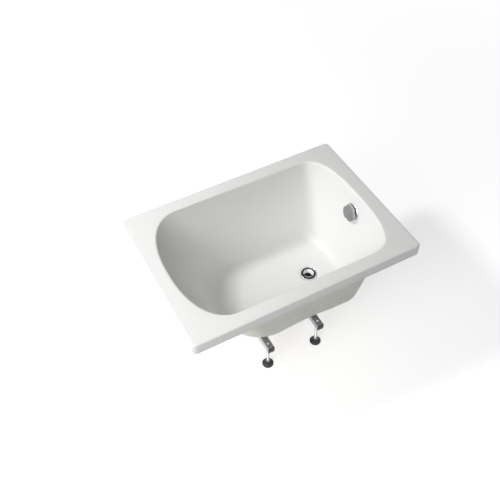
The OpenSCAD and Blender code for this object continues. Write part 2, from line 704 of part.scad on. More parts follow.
// Shaft with its crank: at rest the pin stands half a turn of travel above level, on the back's side
pin_gap = 0.9;
crank_pin_r = 2;
crank_r = rod_travel * cos(foot_slope) / (2 * sin(knob_turn / 2));
crank_front = bearing_back - push_gap;
crank_t = 4;
rod_plate = 2.5;
crank_pin_end = -pipe_run - rod_plate - 3.5;
module knob_shaft() color(zinc) at_overflow() {
  disc(shaft_r, crank_front, knob_reach - 5.4);
  disc(crank_r + crank_pin_r + 1.6, crank_front - crank_t, crank_front);
  rotate([0, 0, 90 - knob_turn / 2]) translate([crank_r, 0, 0])
    disc(crank_pin_r, crank_pin_end, crank_front - crank_t + 1);
}
module shaft_clip() color(zinc) at_overflow() difference() {
  ring(shaft_r + 3, shaft_r + running_gap, -2.2, -1.2);
  translate([0, -2, -3]) cube([20, 4, 3]);
}

// Lift rod: a yoke plate with a level slot for the crank's pin, on a rod that reaches the rocker
yoke_z = overflow_z - (pipe_x - overflow_x) * tan(foot_slope) + crank_r * sin(knob_turn / 2) / cos(foot_slope);
slot_half = crank_pin_r + pin_gap;
slot_y0 = crank_r * cos(knob_turn / 2) - crank_pin_r - pin_gap;
slot_y1 = crank_r + crank_pin_r + pin_gap;
rod_r = 2.5;
module lift_rod() color(zinc) {
  difference() {
    translate([pipe_x - rod_plate / 2, slot_y0 - 2.2, yoke_z - slot_half - 3])
      cube([rod_plate, slot_y1 - slot_y0 + 4.4, 2 * slot_half + 5.5]);
    translate([pipe_x - rod_plate, slot_y0, yoke_z - slot_half])
      cube([2 * rod_plate, slot_y1 - slot_y0, 2 * slot_half]);
  }
  at_pipe() disc(rod_r, rod_foot_z, yoke_z - slot_half - 1);
}

// Overflow pipe between the head's spout and the tee, with its nuts
pipe_end_gap = 1;
pipe_nut_h = 15;
pipe_nut_grip = 9;
module overflow_pipe() color(white_plastic) at_pipe()
  ring(pipe_r, pipe_bore_r, tee_top - socket_depth + pipe_end_gap, spout_bottom + spout_depth - pipe_end_gap);
module pipe_nuts() color(white_plastic) at_pipe() {
  translate([0, 0, spout_bottom + pipe_nut_grip]) rotate([180, 0, 0]) union_nut(pipe_r, spout_r, pipe_nut_h);
  translate([0, 0, tee_top - pipe_nut_grip]) union_nut(pipe_r, spout_r, pipe_nut_h);
}

// Trap: a U bend under the tee, then a bend to a level outlet at the back
trap_clearance = 5;
trap_z = trap_clearance + tube_r + trap_bend_r;
outlet_z = trap_z - trap_bend_r + tube_bore_r + water_seal + tube_bore_r;
riser_y = 2 * trap_bend_r;
riser_top = outlet_z - trap_bend_r;
inlet_top = tee_bottom - 6;
trap_seal_top = inlet_top + 2;
module bent_tube(r_out, r_in, angle) rotate_extrude(angle = angle) translate([trap_bend_r, 0]) difference() {
  circle(r = r_out);
  circle(r = r_in);
}
module trap_bend() color(white_plastic) at_pipe() {
  translate([0, trap_bend_r, trap_z]) rotate([-90, 0, -90]) bent_tube(tube_r, tube_bore_r, 180);
  ring(tube_r, tube_bore_r, trap_z, inlet_top);
  translate([0, riser_y, 0]) ring(tube_r, tube_bore_r, trap_z, riser_top - push_gap);
}
inlet_nut_h = 15.5;
module trap_inlet_nut() color(white_plastic) at_pipe()
  translate([0, 0, trap_seal_top + push_gap - inlet_nut_h + nut_lip]) union_nut(tail_r, tube_r, inlet_nut_h);
outlet_y = 190;
module trap_outlet_pipe() color(white_plastic) at_pipe() {
  translate([0, riser_y + trap_bend_r, riser_top]) rotate([90, 0, -90])
    bent_tube(tube_r, tube_bore_r, 90);
  translate([0, riser_y + trap_bend_r, outlet_z]) rotate([-90, 0, 0])
    ring(tube_r, tube_bore_r, 0, outlet_y - riser_y - trap_bend_r);
}
outlet_nut_h = 12.5;
module trap_outlet_nut() color(white_plastic) at_pipe() translate([0, riser_y, riser_top - outlet_nut_h - 0.5])
  ring(tube_r + 4.5, tube_r + slip_gap, 0, outlet_nut_h);
module trap_seal() color(black_rubber) at_pipe()
  ring(tube_r - slip_gap, tail_r + slip_gap / 2, inlet_top + bond_gap, trap_seal_top);

tub_shell();
fibreglass_backing();
base_board();
rim_batten_front();
rim_batten_back();
rim_batten_left();
rim_batten_right();
leg_bar_left();
leg_bar_right();
bar_screws();
bar_end_caps();
foot_nuts();
lock_nuts();
foot_stud_front_left();
foot_stud_front_right();
foot_stud_back_left();
foot_stud_back_right();
foot_pad_front_left();
foot_pad_front_right();
foot_pad_back_left();
foot_pad_back_right();
waste_flange();
flange_seal();
shoe_gasket();
waste_shoe();
rocker_pin();
rocker_lever();
plug_cap();
plug_seal();
plug_stem();
stem_nut();
waste_tee();
shoe_nut();
overflow_pipe();
pipe_nuts();
overflow_body();
overflow_gasket();
overflow_rosette();
rosette_screws();
overflow_knob();
knob_shaft();
shaft_clip();
lift_rod();
trap_inlet_nut();
trap_bend();
trap_outlet_nut();
trap_outlet_pipe();
trap_seal();
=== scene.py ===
import json
import math
from contextlib import contextmanager

import bmesh
import bpy
import numpy as np
from mathutils import Matrix, Vector


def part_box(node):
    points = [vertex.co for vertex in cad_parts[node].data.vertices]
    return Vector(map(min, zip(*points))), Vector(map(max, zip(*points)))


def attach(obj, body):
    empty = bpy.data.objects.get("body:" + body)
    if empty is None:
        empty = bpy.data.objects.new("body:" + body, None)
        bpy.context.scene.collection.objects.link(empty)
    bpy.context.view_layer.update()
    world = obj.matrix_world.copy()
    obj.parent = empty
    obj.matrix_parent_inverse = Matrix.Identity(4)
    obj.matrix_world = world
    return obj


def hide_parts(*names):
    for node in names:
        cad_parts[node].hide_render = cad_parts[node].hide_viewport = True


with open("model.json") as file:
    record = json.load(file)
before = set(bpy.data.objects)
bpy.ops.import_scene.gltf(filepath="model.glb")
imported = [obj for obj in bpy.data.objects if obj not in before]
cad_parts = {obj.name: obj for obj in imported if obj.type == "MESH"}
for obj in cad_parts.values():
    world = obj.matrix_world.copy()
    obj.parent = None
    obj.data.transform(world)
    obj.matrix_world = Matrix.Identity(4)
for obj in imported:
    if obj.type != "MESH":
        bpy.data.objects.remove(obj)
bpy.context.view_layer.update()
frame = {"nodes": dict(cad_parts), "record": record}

# Sizes of the bath, in metres, in the same frame as its solids: origin on the floor under the middle of
# the rim, +X to the foot end, +Y to the back, +Z up.
RIM_X, RIM_Y = 0.500, 0.350
RIM_Z = 0.580
LIP_H = 0.050
CORNER_R, CORNER_MIN = 0.018, 0.0006
EDGE_R = 0.007
ROLL_R = 0.012
SHEET_T = 0.005
BACKING_IN = 0.0052
BACKING_OUT = 0.0082
BATH_DEPTH = 0.390
FLOOR_Z = 0.190
FLOOR_FALL, FALL_REACH = 0.003, 0.450
HEAD_SLOPE, FOOT_SLOPE, SIDE_SLOPE = math.radians(27), math.radians(10), math.radians(10)
OPEN_HEAD, OPEN_FOOT, OPEN_SIDE = -0.438, 0.432, 0.290
HEAD_BOW, FOOT_BOW = 0.168, 0.132
FLOOR_HEAD_BOW, FLOOR_FOOT_BOW = 0.165, 0.105
HEAD_POWER, FOOT_POWER = 2.3, 2.8
FLOOR_HEAD_POWER, FLOOR_FOOT_POWER = 2.1, 2.6
SIDE_FILLET, HEAD_FILLET, FOOT_FILLET = 0.065, 0.130, 0.050
WASTE_X = 0.215
HOLE_R = 0.026
SEAT_R, SEAT_DEPTH = 0.039, 0.006
SEAT_Z = FLOOR_Z - SEAT_DEPTH
BACKING_Z = SEAT_Z - BACKING_OUT
OVERFLOW_X, OVERFLOW_Z = 0.415778, 0.488

# Points of the fine loft: round each half end, along each side, and round each rim corner
END_STEPS, SIDE_STEPS, ARC_STEPS = 96, 24, 16
RING_N = 2 * (END_STEPS + SIDE_STEPS)
FILLET_STEPS, WALL_STEPS, ROLL_STEPS, EDGE_STEPS = 24, 12, 12, 10

# Edges that turn by more than this many degrees stay crisp
SHARP_ANGLE, NUT_SHARP_ANGLE, THREAD_SHARP_ANGLE = 40, 20, 25


# Mesh helpers

def link_object(name, data):
    obj = bpy.data.objects.new(name, data)
    bpy.context.scene.collection.objects.link(obj)
    return obj


def new_piece(name, verts, faces, body="tub", slot=None, stands_for=()):
    """One mesh piece that rides on a body and may stand for solids of the frame."""
    mesh = bpy.data.meshes.new(name)
    mesh.from_pydata([tuple(v) for v in verts], [], faces)
    mesh.update()
    piece = link_object(name, mesh)
    mesh.polygons.foreach_set("use_smooth", [True] * len(mesh.polygons))
    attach(piece, body)
    if stands_for:
        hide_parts(*stands_for)
    return piece


def ring_faces(rings, n, closed_loop=False):
    """Quads between rings of n points. closed_loop joins the last ring to the first."""
    faces = []
    for k in range(rings if closed_loop else rings - 1):
        a, b = k * n, ((k + 1) % rings) * n
        faces += [(a + i, b + i, b + (i + 1) % n, a + (i + 1) % n) for i in range(n)]
    return faces


@contextmanager
def editing(mesh):
    """The mesh as a bmesh, written back at the end."""
    bm = bmesh.new()
    bm.from_mesh(mesh)
    yield bm
    bm.to_mesh(mesh)
    bm.free()


def mark_sharp(piece, degrees=SHARP_ANGLE):
    """Keeps edges sharper than the angle crisp on a smooth piece."""
    limit = math.radians(degrees)
    with editing(piece.data) as bm:
        for edge in bm.edges:
            edge.smooth = not (len(edge.link_faces) == 2 and edge.calc_face_angle(0) > limit)


def face_outward(mesh):
    with editing(mesh) as bm:
        bmesh.ops.recalc_face_normals(bm, faces=bm.faces)


def clean(piece, degrees=SHARP_ANGLE):
    """Turns all faces outward and marks the crisp edges."""
    face_outward(piece.data)
    mark_sharp(piece, degrees)


# The bowl's loft

def signed_power(value, power):
    return math.copysign(abs(value) ** power, value)


def bowed_outline(head, foot, side, bow_h, bow_f, pow_h, pow_f):
    """Clockwise outline seen from above: head end, back side, foot end, front side."""
    points = []
    for i in range(END_STEPS):
        a = math.radians(-90 + 180 * i / END_STEPS)
        points.append((head + bow_h - bow_h * signed_power(math.cos(a), 2 / pow_h),
                       side * signed_power(math.sin(a), 2 / pow_h)))
    for i in range(SIDE_STEPS):
        points.append((head + bow_h + (foot - bow_f - head - bow_h) * i / SIDE_STEPS, side))
    for i in range(END_STEPS):
        a = math.radians(90 - 180 * i / END_STEPS)
        points.append((foot - bow_f + bow_f * signed_power(math.cos(a), 2 / pow_f),
                       side * signed_power(math.sin(a), 2 / pow_f)))
    for i in range(SIDE_STEPS):
        points.append((foot - bow_f + (head + bow_h - foot + bow_f) * i / SIDE_STEPS, -side))
    return np.array(points)


OPENING = bowed_outline(OPEN_HEAD, OPEN_FOOT, OPEN_SIDE, HEAD_BOW, FOOT_BOW, HEAD_POWER, FOOT_POWER)
FLOOR_LINE = bowed_outline(OPEN_HEAD + BATH_DEPTH * math.tan(HEAD_SLOPE),
                           OPEN_FOOT - BATH_DEPTH * math.tan(FOOT_SLOPE),
                           OPEN_SIDE - BATH_DEPTH * math.tan(SIDE_SLOPE),
                           FLOOR_HEAD_BOW, FLOOR_FOOT_BOW, FLOOR_HEAD_POWER, FLOOR_FOOT_POWER)


def floor_height(point):
    """The floor rises a little away from the waste."""
    reach = math.hypot(point[0] - WASTE_X, point[1])
    return FLOOR_Z + FLOOR_FALL * min(1, reach / FALL_REACH)


def fillet_curve(start_h, bottom, radius, slope):
    """From the floor up into the wall, as (distance, height) points."""
    half = math.tan((math.pi / 2 - slope) / 2)
    angles = [math.pi / 2 - (math.pi / 2 - slope) * k / FILLET_STEPS for k in range(FILLET_STEPS + 1)]
    return [(start_h + radius * half - radius * math.cos(q), bottom + radius - radius * math.sin(q))
            for q in angles]


def roll_curve(end_h, top, radius, slope):
    """From the wall over the rolled edge to the deck, as (distance, height) points."""
    half = math.tan((math.pi / 2 - slope) / 2)
    angles = [slope + (math.pi / 2 - slope) * k / ROLL_STEPS for k in range(ROLL_STEPS + 1)]
    return [(end_h - radius * half + radius * math.cos(q), top - radius + radius * math.sin(q))
            for q in angles]


def section(i, inset, flat_z=None):
    """Points of the bowl's section at index i, from the floor to the deck, moved out by inset."""
    opening, floor_point = OPENING[i], FLOOR_LINE[i]
    away = opening - floor_point
    run = float(np.hypot(*away))
    inward = -away / run
    turn = away[0] / run
    end_fillet = HEAD_FILLET if turn < 0 else FOOT_FILLET
    fillet = SIDE_FILLET + (end_fillet - SIDE_FILLET) * turn * turn + inset
    face_z = floor_height(floor_point)
    bottom = face_z - inset if flat_z is None else flat_z
    slope = math.atan(run / (RIM_Z - face_z))
    shift = -inset / math.cos(slope)
    top_h = shift + inset * math.tan(slope)
    bottom_h = shift + (RIM_Z - bottom) * math.tan(slope)
    low = fillet_curve(bottom_h, bottom, fillet, slope)
    high = roll_curve(top_h, RIM_Z - inset, ROLL_R - inset, slope)
    (h0, z0), (h1, z1) = low[-1], high[0]
    wall = [(h0 + (h1 - h0) * k / WALL_STEPS, z0 + (z1 - z0) * k / WALL_STEPS) for k in range(1, WALL_STEPS)]
    return [np.array((*(opening + inward * h), z)) for h, z in low + wall + high]


def bowl_rings(inset, flat_z=None):
    """Rings round the bowl from the floor up to the deck."""
    sections = [section(i, inset, flat_z) for i in range(RING_N)]
    return [np.array([s[k] for s in sections]) for k in range(len(sections[0]))]


def waste_ring(r, z):
    """A round ring at the waste, its points in the order of the loft's."""
    a = np.radians(270 - 360 * np.arange(RING_N) / RING_N)
    return np.stack([WASTE_X + r * np.cos(a), r * np.sin(a), np.full(RING_N, z)], -1)


ARC_START = (END_STEPS // 2 - ARC_STEPS) // 2


def rim_half(j, sx, inset):
    """Point j of a quarter of the rim, from the side's end to the middle of the rim's end."""
    x0, y0 = RIM_X - inset, RIM_Y - inset
    r = max(CORNER_R - inset, CORNER_MIN)
    bow_x = abs(OPEN_HEAD + HEAD_BOW) if sx < 0 else OPEN_FOOT - FOOT_BOW
    if j <= ARC_START:
        return sx * (bow_x + (x0 - r - bow_x) * j / ARC_START), y0
    if j <= ARC_START + ARC_STEPS:
        a = math.radians(90 - 90 * (j - ARC_START) / ARC_STEPS)
        return sx * (x0 - r + r * math.cos(a)), y0 - r + r * math.sin(a)
    return sx * x0, (y0 - r) * (END_STEPS / 2 - j) / (END_STEPS / 2 - ARC_START - ARC_STEPS)


def rim_point(i, inset):
    """The rim's point that the loft's point i meets."""
    half, turn = END_STEPS // 2, END_STEPS + SIDE_STEPS
    if i < half:
        x, y = rim_half(i, -1, inset)
        return x, -y
    if i < END_STEPS:
        return rim_half(END_STEPS - i, -1, inset)
    if i >= turn + END_STEPS:
        t = (i - turn - END_STEPS) / SIDE_STEPS
        a, b = rim_half(0, 1, inset), rim_half(0, -1, inset)
        return a[0] + (b[0] - a[0]) * t, -a[1]
    if i < turn:
        t = (i - END_STEPS) / SIDE_STEPS
        a, b = rim_half(0, -1, inset), rim_half(0, 1, inset)
        return a[0] + (b[0] - a[0]) * t, a[1]
    if i < turn + half:
        return rim_half(i - turn, 1, inset)
    x, y = rim_half(turn + END_STEPS - i, 1, inset)
    return x, -y


def rim_ring(inset, z):
    return np.array([(*rim_point(i, inset), z) for i in range(RING_N)])


def between(a, b, steps):
    """Rings between two rings, without the two themselves."""
    return [a + (b - a) * k / steps for k in range(1, steps)]


def cut_with(piece, cutters):
    """Cuts closed shapes out of a piece and removes those shapes."""
    for cutter in cutters:
        modifier = piece.modifiers.new("cut", "BOOLEAN")
        modifier.operation = "DIFFERENCE"
        modifier.solver = "EXACT"
        modifier.object = cutter
    bpy.context.view_layer.update()
    graph = bpy.context.evaluated_depsgraph_get()
    mesh = bpy.data.meshes.new_from_object(piece.evaluated_get(graph))
    old = piece.data
    piece.modifiers.clear()
    piece.data = mesh
    mesh.name = piece.name
    bpy.data.meshes.remove(old)
    for cutter in cutters:
        bpy.data.objects.remove(cutter)


def circle_ring(r, z, steps):
    a = np.radians(360 * np.arange(steps) / steps)
    return np.stack([r * np.cos(a), r * np.sin(a), np.full(steps, z)], -1)


def plain_cylinder(r, z0, z1, place, steps=96):
    """A closed cylinder used only as a cutter."""
    verts = [place @ Vector(v) for v in np.concatenate([circle_ring(r, z, steps) for z in (z0, z1)])]
    faces = ring_faces(2, steps) + [tuple(range(steps)), tuple(reversed(range(steps, 2 * steps)))]
    mesh = bpy.data.meshes.new("cutter")
    mesh.from_pydata(verts, [], faces)
    face_outward(mesh)
    return link_object("cutter", mesh)


# The overflow's frame: origin on the wall, local +Z into the bowl
AT_OVERFLOW = (Matrix.Translation((OVERFLOW_X, 0, OVERFLOW_Z))
               @ Matrix.Rotation(-(math.pi / 2 - FOOT_SLOPE), 4, "Y"))
AT_WASTE = Matrix.Translation((WASTE_X, 0, 0))

# The seat for the waste as (radius, height) rings, from its hole up to the floor round it
SEAT_RINGS = ((HOLE_R, SEAT_Z), (0.0365, SEAT_Z), (SEAT_R + 0.0004, SEAT_Z + 0.0006),
              (SEAT_R + 0.0052, FLOOR_Z - 0.0010), (SEAT_R + 0.0068, FLOOR_Z - 0.0002),
              (SEAT_R + 0.0090, FLOOR_Z + 0.00005))
# The lip's lower edge as (inset, height above it) rings, from the outside to the inside
LIP_RINGS = ((0.0, 0.001), (0.0006, 0.0002), (0.0012, 0.0), (SHEET_T - 0.0008, 0.0), (SHEET_T, 0.001))
# Bands of faces over the floor, the deck, the deck's underside, the floor's underside and the level backing
FLOOR_BANDS, DECK_BANDS, UNDER_DECK_BANDS, UNDER_FLOOR_BANDS, LEVEL_BANDS = 10, 5, 4, 4, 8
CUTTER_REACH = 0.03
LAP = 0.008


def rim_edges():
    """Rings round the rim's outer edge and, in reverse, round its inner side."""
    edge, under = [], []
    r_in = EDGE_R - SHEET_T
    for k in range(EDGE_STEPS + 1):
        q = math.pi / 2 * k / EDGE_STEPS
        edge.append(rim_ring(EDGE_R * (1 - math.sin(q)), RIM_Z - EDGE_R * (1 - math.cos(q))))
        under.append(rim_ring(SHEET_T + r_in * (1 - math.sin(q)), RIM_Z - SHEET_T - r_in * (1 - math.cos(q))))
    return edge, under[::-1]


def make_tub():
    """The formed sheet as one closed loft: seat, floor, wall, deck, lip and back along its other side."""
    inner, outer = bowl_rings(0), bowl_rings(SHEET_T)
    seat = [waste_ring(r, z) for r, z in SEAT_RINGS]
    edge, under = rim_edges()
    lip = [rim_ring(inset, RIM_Z - LIP_H + up) for inset, up in LIP_RINGS]
    low = waste_ring(SEAT_R + SEAT_DEPTH + SHEET_T, FLOOR_Z - SHEET_T)
    rings = (seat + between(seat[-1], inner[0], FLOOR_BANDS) + inner
             + between(inner[-1], edge[0], DECK_BANDS) + edge + lip + under
             + between(under[-1], outer[-1], UNDER_DECK_BANDS) + outer[::-1]
             + between(outer[0], low, UNDER_FLOOR_BANDS)
             + [low, waste_ring(SEAT_R + SHEET_T, SEAT_Z - SHEET_T), waste_ring(HOLE_R, SEAT_Z - SHEET_T)])
    tub = new_piece("bath_shell", np.concatenate(rings), ring_faces(len(rings), RING_N, True),
                    slot="acrylic", stands_for=("tub_shell",))
    cut_with(tub, [plain_cylinder(HOLE_R, -CUTTER_REACH, CUTTER_REACH, AT_OVERFLOW)])
    clean(tub)
    return tub


def make_backing():
    """The glass-fibre layer behind the sheet, level under the floor, with a short lap under the deck."""
    inner, outer = bowl_rings(BACKING_IN), bowl_rings(BACKING_OUT, BACKING_Z)
    away = OPENING - FLOOR_LINE
    lap = np.zeros((RING_N, 3))
    lap[:, :2] = LAP * away / np.hypot(*away.T)[:, None]
    lap_in = inner[-1] + lap
    lap_out = lap_in.copy()
    lap_out[:, 2] = outer[-1][:, 2]
    start = waste_ring(SEAT_R + SEAT_DEPTH + BACKING_IN, FLOOR_Z - BACKING_IN)
    low = waste_ring(HOLE_R, BACKING_Z)
    rings = ([waste_ring(HOLE_R, SEAT_Z - BACKING_IN), waste_ring(SEAT_R + BACKING_IN, SEAT_Z - BACKING_IN),
              start] + between(start, inner[0], UNDER_FLOOR_BANDS) + inner + [lap_in, lap_out] + outer[::-1]
             + between(outer[0], low, LEVEL_BANDS) + [low])
    backing = new_piece("backing_layer", np.concatenate(rings), ring_faces(len(rings), RING_N, True),
                        slot="glass_fibre", stands_for=("fibreglass_backing",))
    cut_with(backing, [plain_cylinder(HOLE_R, -CUTTER_REACH, 0.0, AT_OVERFLOW)])
    clean(backing)
    return backing


# Turned and shaped fittings. Their profiles are in millimetres.
MM = 0.001


def round_points(points, steps=6):
    """A profile of (r, z, rounding) corners as (r, z) points, each rounded corner a short curve."""
    out = []
    n = len(points)
    for k, (r, z, rounding) in enumerate(points):
        here = Vector((r, z))
        if not rounding:
            out.append(here)
            continue
        before, after = Vector(points[k - 1][:2]), Vector(points[(k + 1) % n][:2])
        start = here + (before - here).normalized() * rounding
        end = here + (after - here).normalized() * rounding
        for s in range(steps + 1):
            u = s / steps
            out.append(start.lerp(here, u).lerp(here.lerp(end, u), u))
    return out


def turned(name, profile, place, steps=128, **piece):
    """A closed profile of (r, z) points turned about the place's Z axis."""
    rings = [circle_ring(r, z, steps) * MM for r, z in profile]
    verts = [place @ Vector(v) for v in np.concatenate(rings)]
    obj = new_piece(name, verts, ring_faces(len(rings), steps, True), **piece)
    clean(obj)
    return obj


NECK_Z, NECK_R, NECK_BORE = 158.8, 24, 21.5
FLANGE_R, FLANGE_Z0, FLANGE_Z1 = 36, 185, 190.4


def make_flange():
    """The dished ring in the floor with its neck through the sheet."""
    profile = round_points([
        (NECK_BORE, NECK_Z, 0), (NECK_R, NECK_Z, 0), (NECK_R, FLANGE_Z0, 0), (FLANGE_R, FLANGE_Z0, 0.4),
        (FLANGE_R, FLANGE_Z1, 1.1), (33.8, FLANGE_Z1, 0.5), (33.0, 189.65, 0.3), (NECK_BORE, 186.2, 0.8)])
    return turned("waste_ring", profile, AT_WASTE, slot="chrome", stands_for=("waste_flange",))


GUIDE_BORE, GUIDE_R, GUIDE_Z1 = 3.05, 6, 167.8
# Middle and size of one bar of the guide, in metres
GUIDE_BAR_AT, GUIDE_BAR_SIZE = (0.0137, 0, 0.1613), (0.0166, 0.0025, 0.005)


def make_guide():
    """The hub in the flange's neck that guides the stem, on three bars."""
    profile = [(GUIDE_BORE, NECK_Z), (GUIDE_R, NECK_Z), (GUIDE_R, GUIDE_Z1), (GUIDE_BORE, GUIDE_Z1)]
    hub = turned("stem_guide", profile, AT_WASTE, steps=48, slot="chrome")
    with editing(hub.data) as bm:
        for angle in (30, 150, 270):
            turn = AT_WASTE @ Matrix.Rotation(math.radians(angle), 4, "Z")
            place = turn @ Matrix.Translation(GUIDE_BAR_AT) @ Matrix.Diagonal((*GUIDE_BAR_SIZE, 1))
            bmesh.ops.create_cube(bm, size=1, matrix=place)
    return hub


PLUG_R, CAP_Z, DOME_H, CAP_EDGE = 23.9, 189.25, 3.6, 1.4
DOME_R = (PLUG_R ** 2 + DOME_H ** 2) / (2 * DOME_H)
DOME_POINTS, DOME_MIDDLE, DOME_IN = 26, 0.01, 0.8
# The cap's edge as (further out, further up) points
CAP_CURVE = ((-0.7, 0.02), (-0.25, 0.15), (-0.05, 0.5), (0, 0.95), (-0.1, 1.25), (-0.4, 1.46))


def dome_height(r):
    return CAP_Z + CAP_EDGE + DOME_H - DOME_R + math.sqrt(DOME_R ** 2 - r * r)


def make_plug():
    """The plug's polished cap, a shallow dome."""
    profile = [(DOME_MIDDLE, CAP_Z + 0.02)] + [(PLUG_R + out, CAP_Z + up) for out, up in CAP_CURVE]
    profile += [(r, dome_height(r)) for r in np.linspace(PLUG_R - DOME_IN, DOME_MIDDLE, DOME_POINTS)]
    return turned("plug_dome", profile, AT_WASTE, body="plug", slot="chrome", stands_for=("plug_cap",))


SEAL_BORE, SEAL_Z0, SEAL_Z1, LIP_TOP_Z = 3.25, 187.21, 189.15, 190.25


def make_seal():
    """The rubber under the cap, with a thin lip over the flange's dish."""
    profile = round_points([
        (SEAL_BORE, SEAL_Z0, 0), (23.8, SEAL_Z0, 0.2), (32.4, 189.80, 0.1), (32.5, LIP_TOP_Z, 0.15),
        (31.0, LIP_TOP_Z, 0.4), (25.2, 188.60, 0.3), (23.4, SEAL_Z1, 0), (SEAL_BORE, SEAL_Z1, 0)])
    return turned("plug_rubber", profile, AT_WASTE, body="plug", slot="seal_rubber",
                  stands_for=("plug_seal",))


# Holes in the rosette as (distance from its middle, angle, radius): four for water and two for screws
ROSETTE_HOLES = [(14.0, a, 4.0) for a in (35, 145, 215, 325)] + [(17.0, a, 2.3) for a in (90, 270)]


ROSETTE_CUT = (-0.002, 0.008)
ROSETTE_BORE, ROSETTE_BACK, PLATE_FRONT = 6, 0.85, 2.65


def make_rosette():
    """The ring on the wall behind the knob: a rounded rim round a sunk plate with holes."""
    profile = round_points([
        (ROSETTE_BORE, ROSETTE_BACK, 0), (42.6, ROSETTE_BACK, 0.3), (43, 1.4, 0.3), (40.6, 4.1, 2.2),
        (34, 5.8, 3.5), (27.5, 5.2, 1.6), (24.6, PLATE_FRONT, 0.8), (ROSETTE_BORE, PLATE_FRONT, 0.3)])
    ring = turned("overflow_ring", profile, AT_OVERFLOW, slot="chrome", stands_for=("overflow_rosette",))
    cutters = []
    for reach, angle, r in ROSETTE_HOLES:
        turn = AT_OVERFLOW @ Matrix.Rotation(math.radians(angle), 4, "Z")
        place = turn @ Matrix.Translation((reach * MM, 0, 0))
        cutters.append(plain_cylinder(r * MM, *ROSETTE_CUT, place, 32))
    cut_with(ring, cutters)
    mark_sharp(ring)
    return ring


KNOB_R, KNOB_FRONT, KNOB_BACK = 38.0, 22.0, 10.0
SCALLOP_R, SCALLOP_DEPTH, FIRST_SCALLOP, SCALLOP_SOFT = 22.0, 5.0, math.radians(60), 1.2
FACE_CROWN, FACE_ROUNDING, FACE_MIDDLE = 1.0, 1.4, 0.0003
KNOB_STEPS, ROUNDING_STEPS, FACE_STEPS = 240, 8, 10
# The back of the knob, as round rings (radius, height) and then as rings of its outline (inset, height)
KNOB_HUB = ((5.05, 17.0), (5.05, 10.5), (9.6, 10.5), (10, 10.9), (10, 18.4))
KNOB_HOLLOW = ((3.4, 18.4), (3.0, 18.0), (3.0, KNOB_BACK), (0.5, KNOB_BACK), (0.14, KNOB_BACK + 0.14),
               (0, KNOB_BACK + 0.5))


def knob_radius(angle):
    """Distance to the knob's edge: a circle with three finger scallops, their corners softened."""
    scallop_at = KNOB_R + SCALLOP_R - SCALLOP_DEPTH
    off = (angle - FIRST_SCALLOP + math.pi / 3) % (2 * math.pi / 3) - math.pi / 3
    side = scallop_at * math.sin(off)
    if abs(side) >= SCALLOP_R:
        return KNOB_R
    near = scallop_at * math.cos(off) - math.sqrt(SCALLOP_R ** 2 - side * side)
    blend = max(SCALLOP_SOFT - abs(near - KNOB_R), 0) / SCALLOP_SOFT
    return min(near, KNOB_R) - blend * blend * SCALLOP_SOFT / 4


def knob_outline():
    angles = [2 * math.pi * k / KNOB_STEPS for k in range(KNOB_STEPS)]
    return np.array([[knob_radius(a) * math.cos(a), knob_radius(a) * math.sin(a)] for a in angles])


def inset_outline(points, inset):
    """A closed outline moved inward all round."""
    along = np.roll(points, -1, 0) - np.roll(points, 1, 0)
    normal = np.stack([along[:, 1], -along[:, 0]], -1) / np.hypot(*along.T)[:, None]
    return points - normal * inset


def knob_face(outline):
    """Rings round the knob's rounded edge and over its slightly crowned face."""
    rings = []
    for k in range(ROUNDING_STEPS + 1):
        q = math.pi / 2 * k / ROUNDING_STEPS
        rings.append((inset_outline(outline, FACE_ROUNDING * (1 - math.cos(q))),
                      KNOB_FRONT - FACE_CROWN - FACE_ROUNDING + FACE_ROUNDING * math.sin(q)))
    edge = inset_outline(outline, FACE_ROUNDING)
    for k in range(1, FACE_STEPS + 1):
        share = 1 - k / FACE_STEPS
        rings.append((edge * max(share, FACE_MIDDLE), KNOB_FRONT - FACE_CROWN * share * share))
    return rings


def make_knob():
    """The knob from its bore over the hollow back and the rim to the middle of its face."""
    outline = knob_outline()
    rings = [(circle_ring(r, z, KNOB_STEPS)[:, :2], z) for r, z in KNOB_HUB]
    rings += [(inset_outline(outline, inset), z) for inset, z in KNOB_HOLLOW]
    rings += knob_face(outline)
    verts = [AT_OVERFLOW @ Vector((x * MM, y * MM, z * MM)) for points, z in rings for x, y in points]
    faces = ring_faces(len(rings), KNOB_STEPS)
    faces.append(tuple(range(KNOB_STEPS)))
    knob = new_piece("turning_knob", verts, faces, body="knob", slot="chrome",
                     stands_for=("overflow_knob",))
    clean(knob)
    return knob


# Frame under the bath: boards, battens, square tubes, threaded feet

def soft_box(name, node, rounding, **piece):
    """A box the size of a solid of the frame, with rounded edges."""
    low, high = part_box(node)
    size, middle = high - low, (high + low) / 2
    mesh = bpy.data.meshes.new("box")
    with editing(mesh) as bm:
        place = Matrix.Translation(middle) @ Matrix.Diagonal((*size, 1))
        bmesh.ops.create_cube(bm, size=1, matrix=place)
        bmesh.ops.bevel(bm, geom=bm.edges[:], offset=rounding, segments=3, profile=0.5, affect="EDGES")
    verts, faces = [v.co.copy() for v in mesh.vertices], [tuple(f.vertices) for f in mesh.polygons]
    bpy.data.meshes.remove(mesh)
    box = new_piece(name, verts, faces, stands_for=(node,), **piece)
    mark_sharp(box)
    return box


BAR_X, BAR_Z0, BAR_SIDE, BAR_WALL, BAR_HALF = (-0.119, 0.125), 0.1298, 0.030, 0.0015, 0.250
BAR_MIDDLE_Z = BAR_Z0 + BAR_SIDE / 2
BAR_CORNER, CAP_CORNER_MIN = 0.0024, 0.0008
FOOT_Y = 0.223
SCREW_Y = (-0.130, -0.060, 0.060, 0.130)
# Radii of a bar's holes in its lower and its upper wall, and the heights that cut through either wall
FOOT_HOLE, SCREW_HOLE = (0.0093, 0.0070), (0.0065, 0.0028)
WALL_CUTS = ((-0.002, 0.004), (0.026, 0.032))
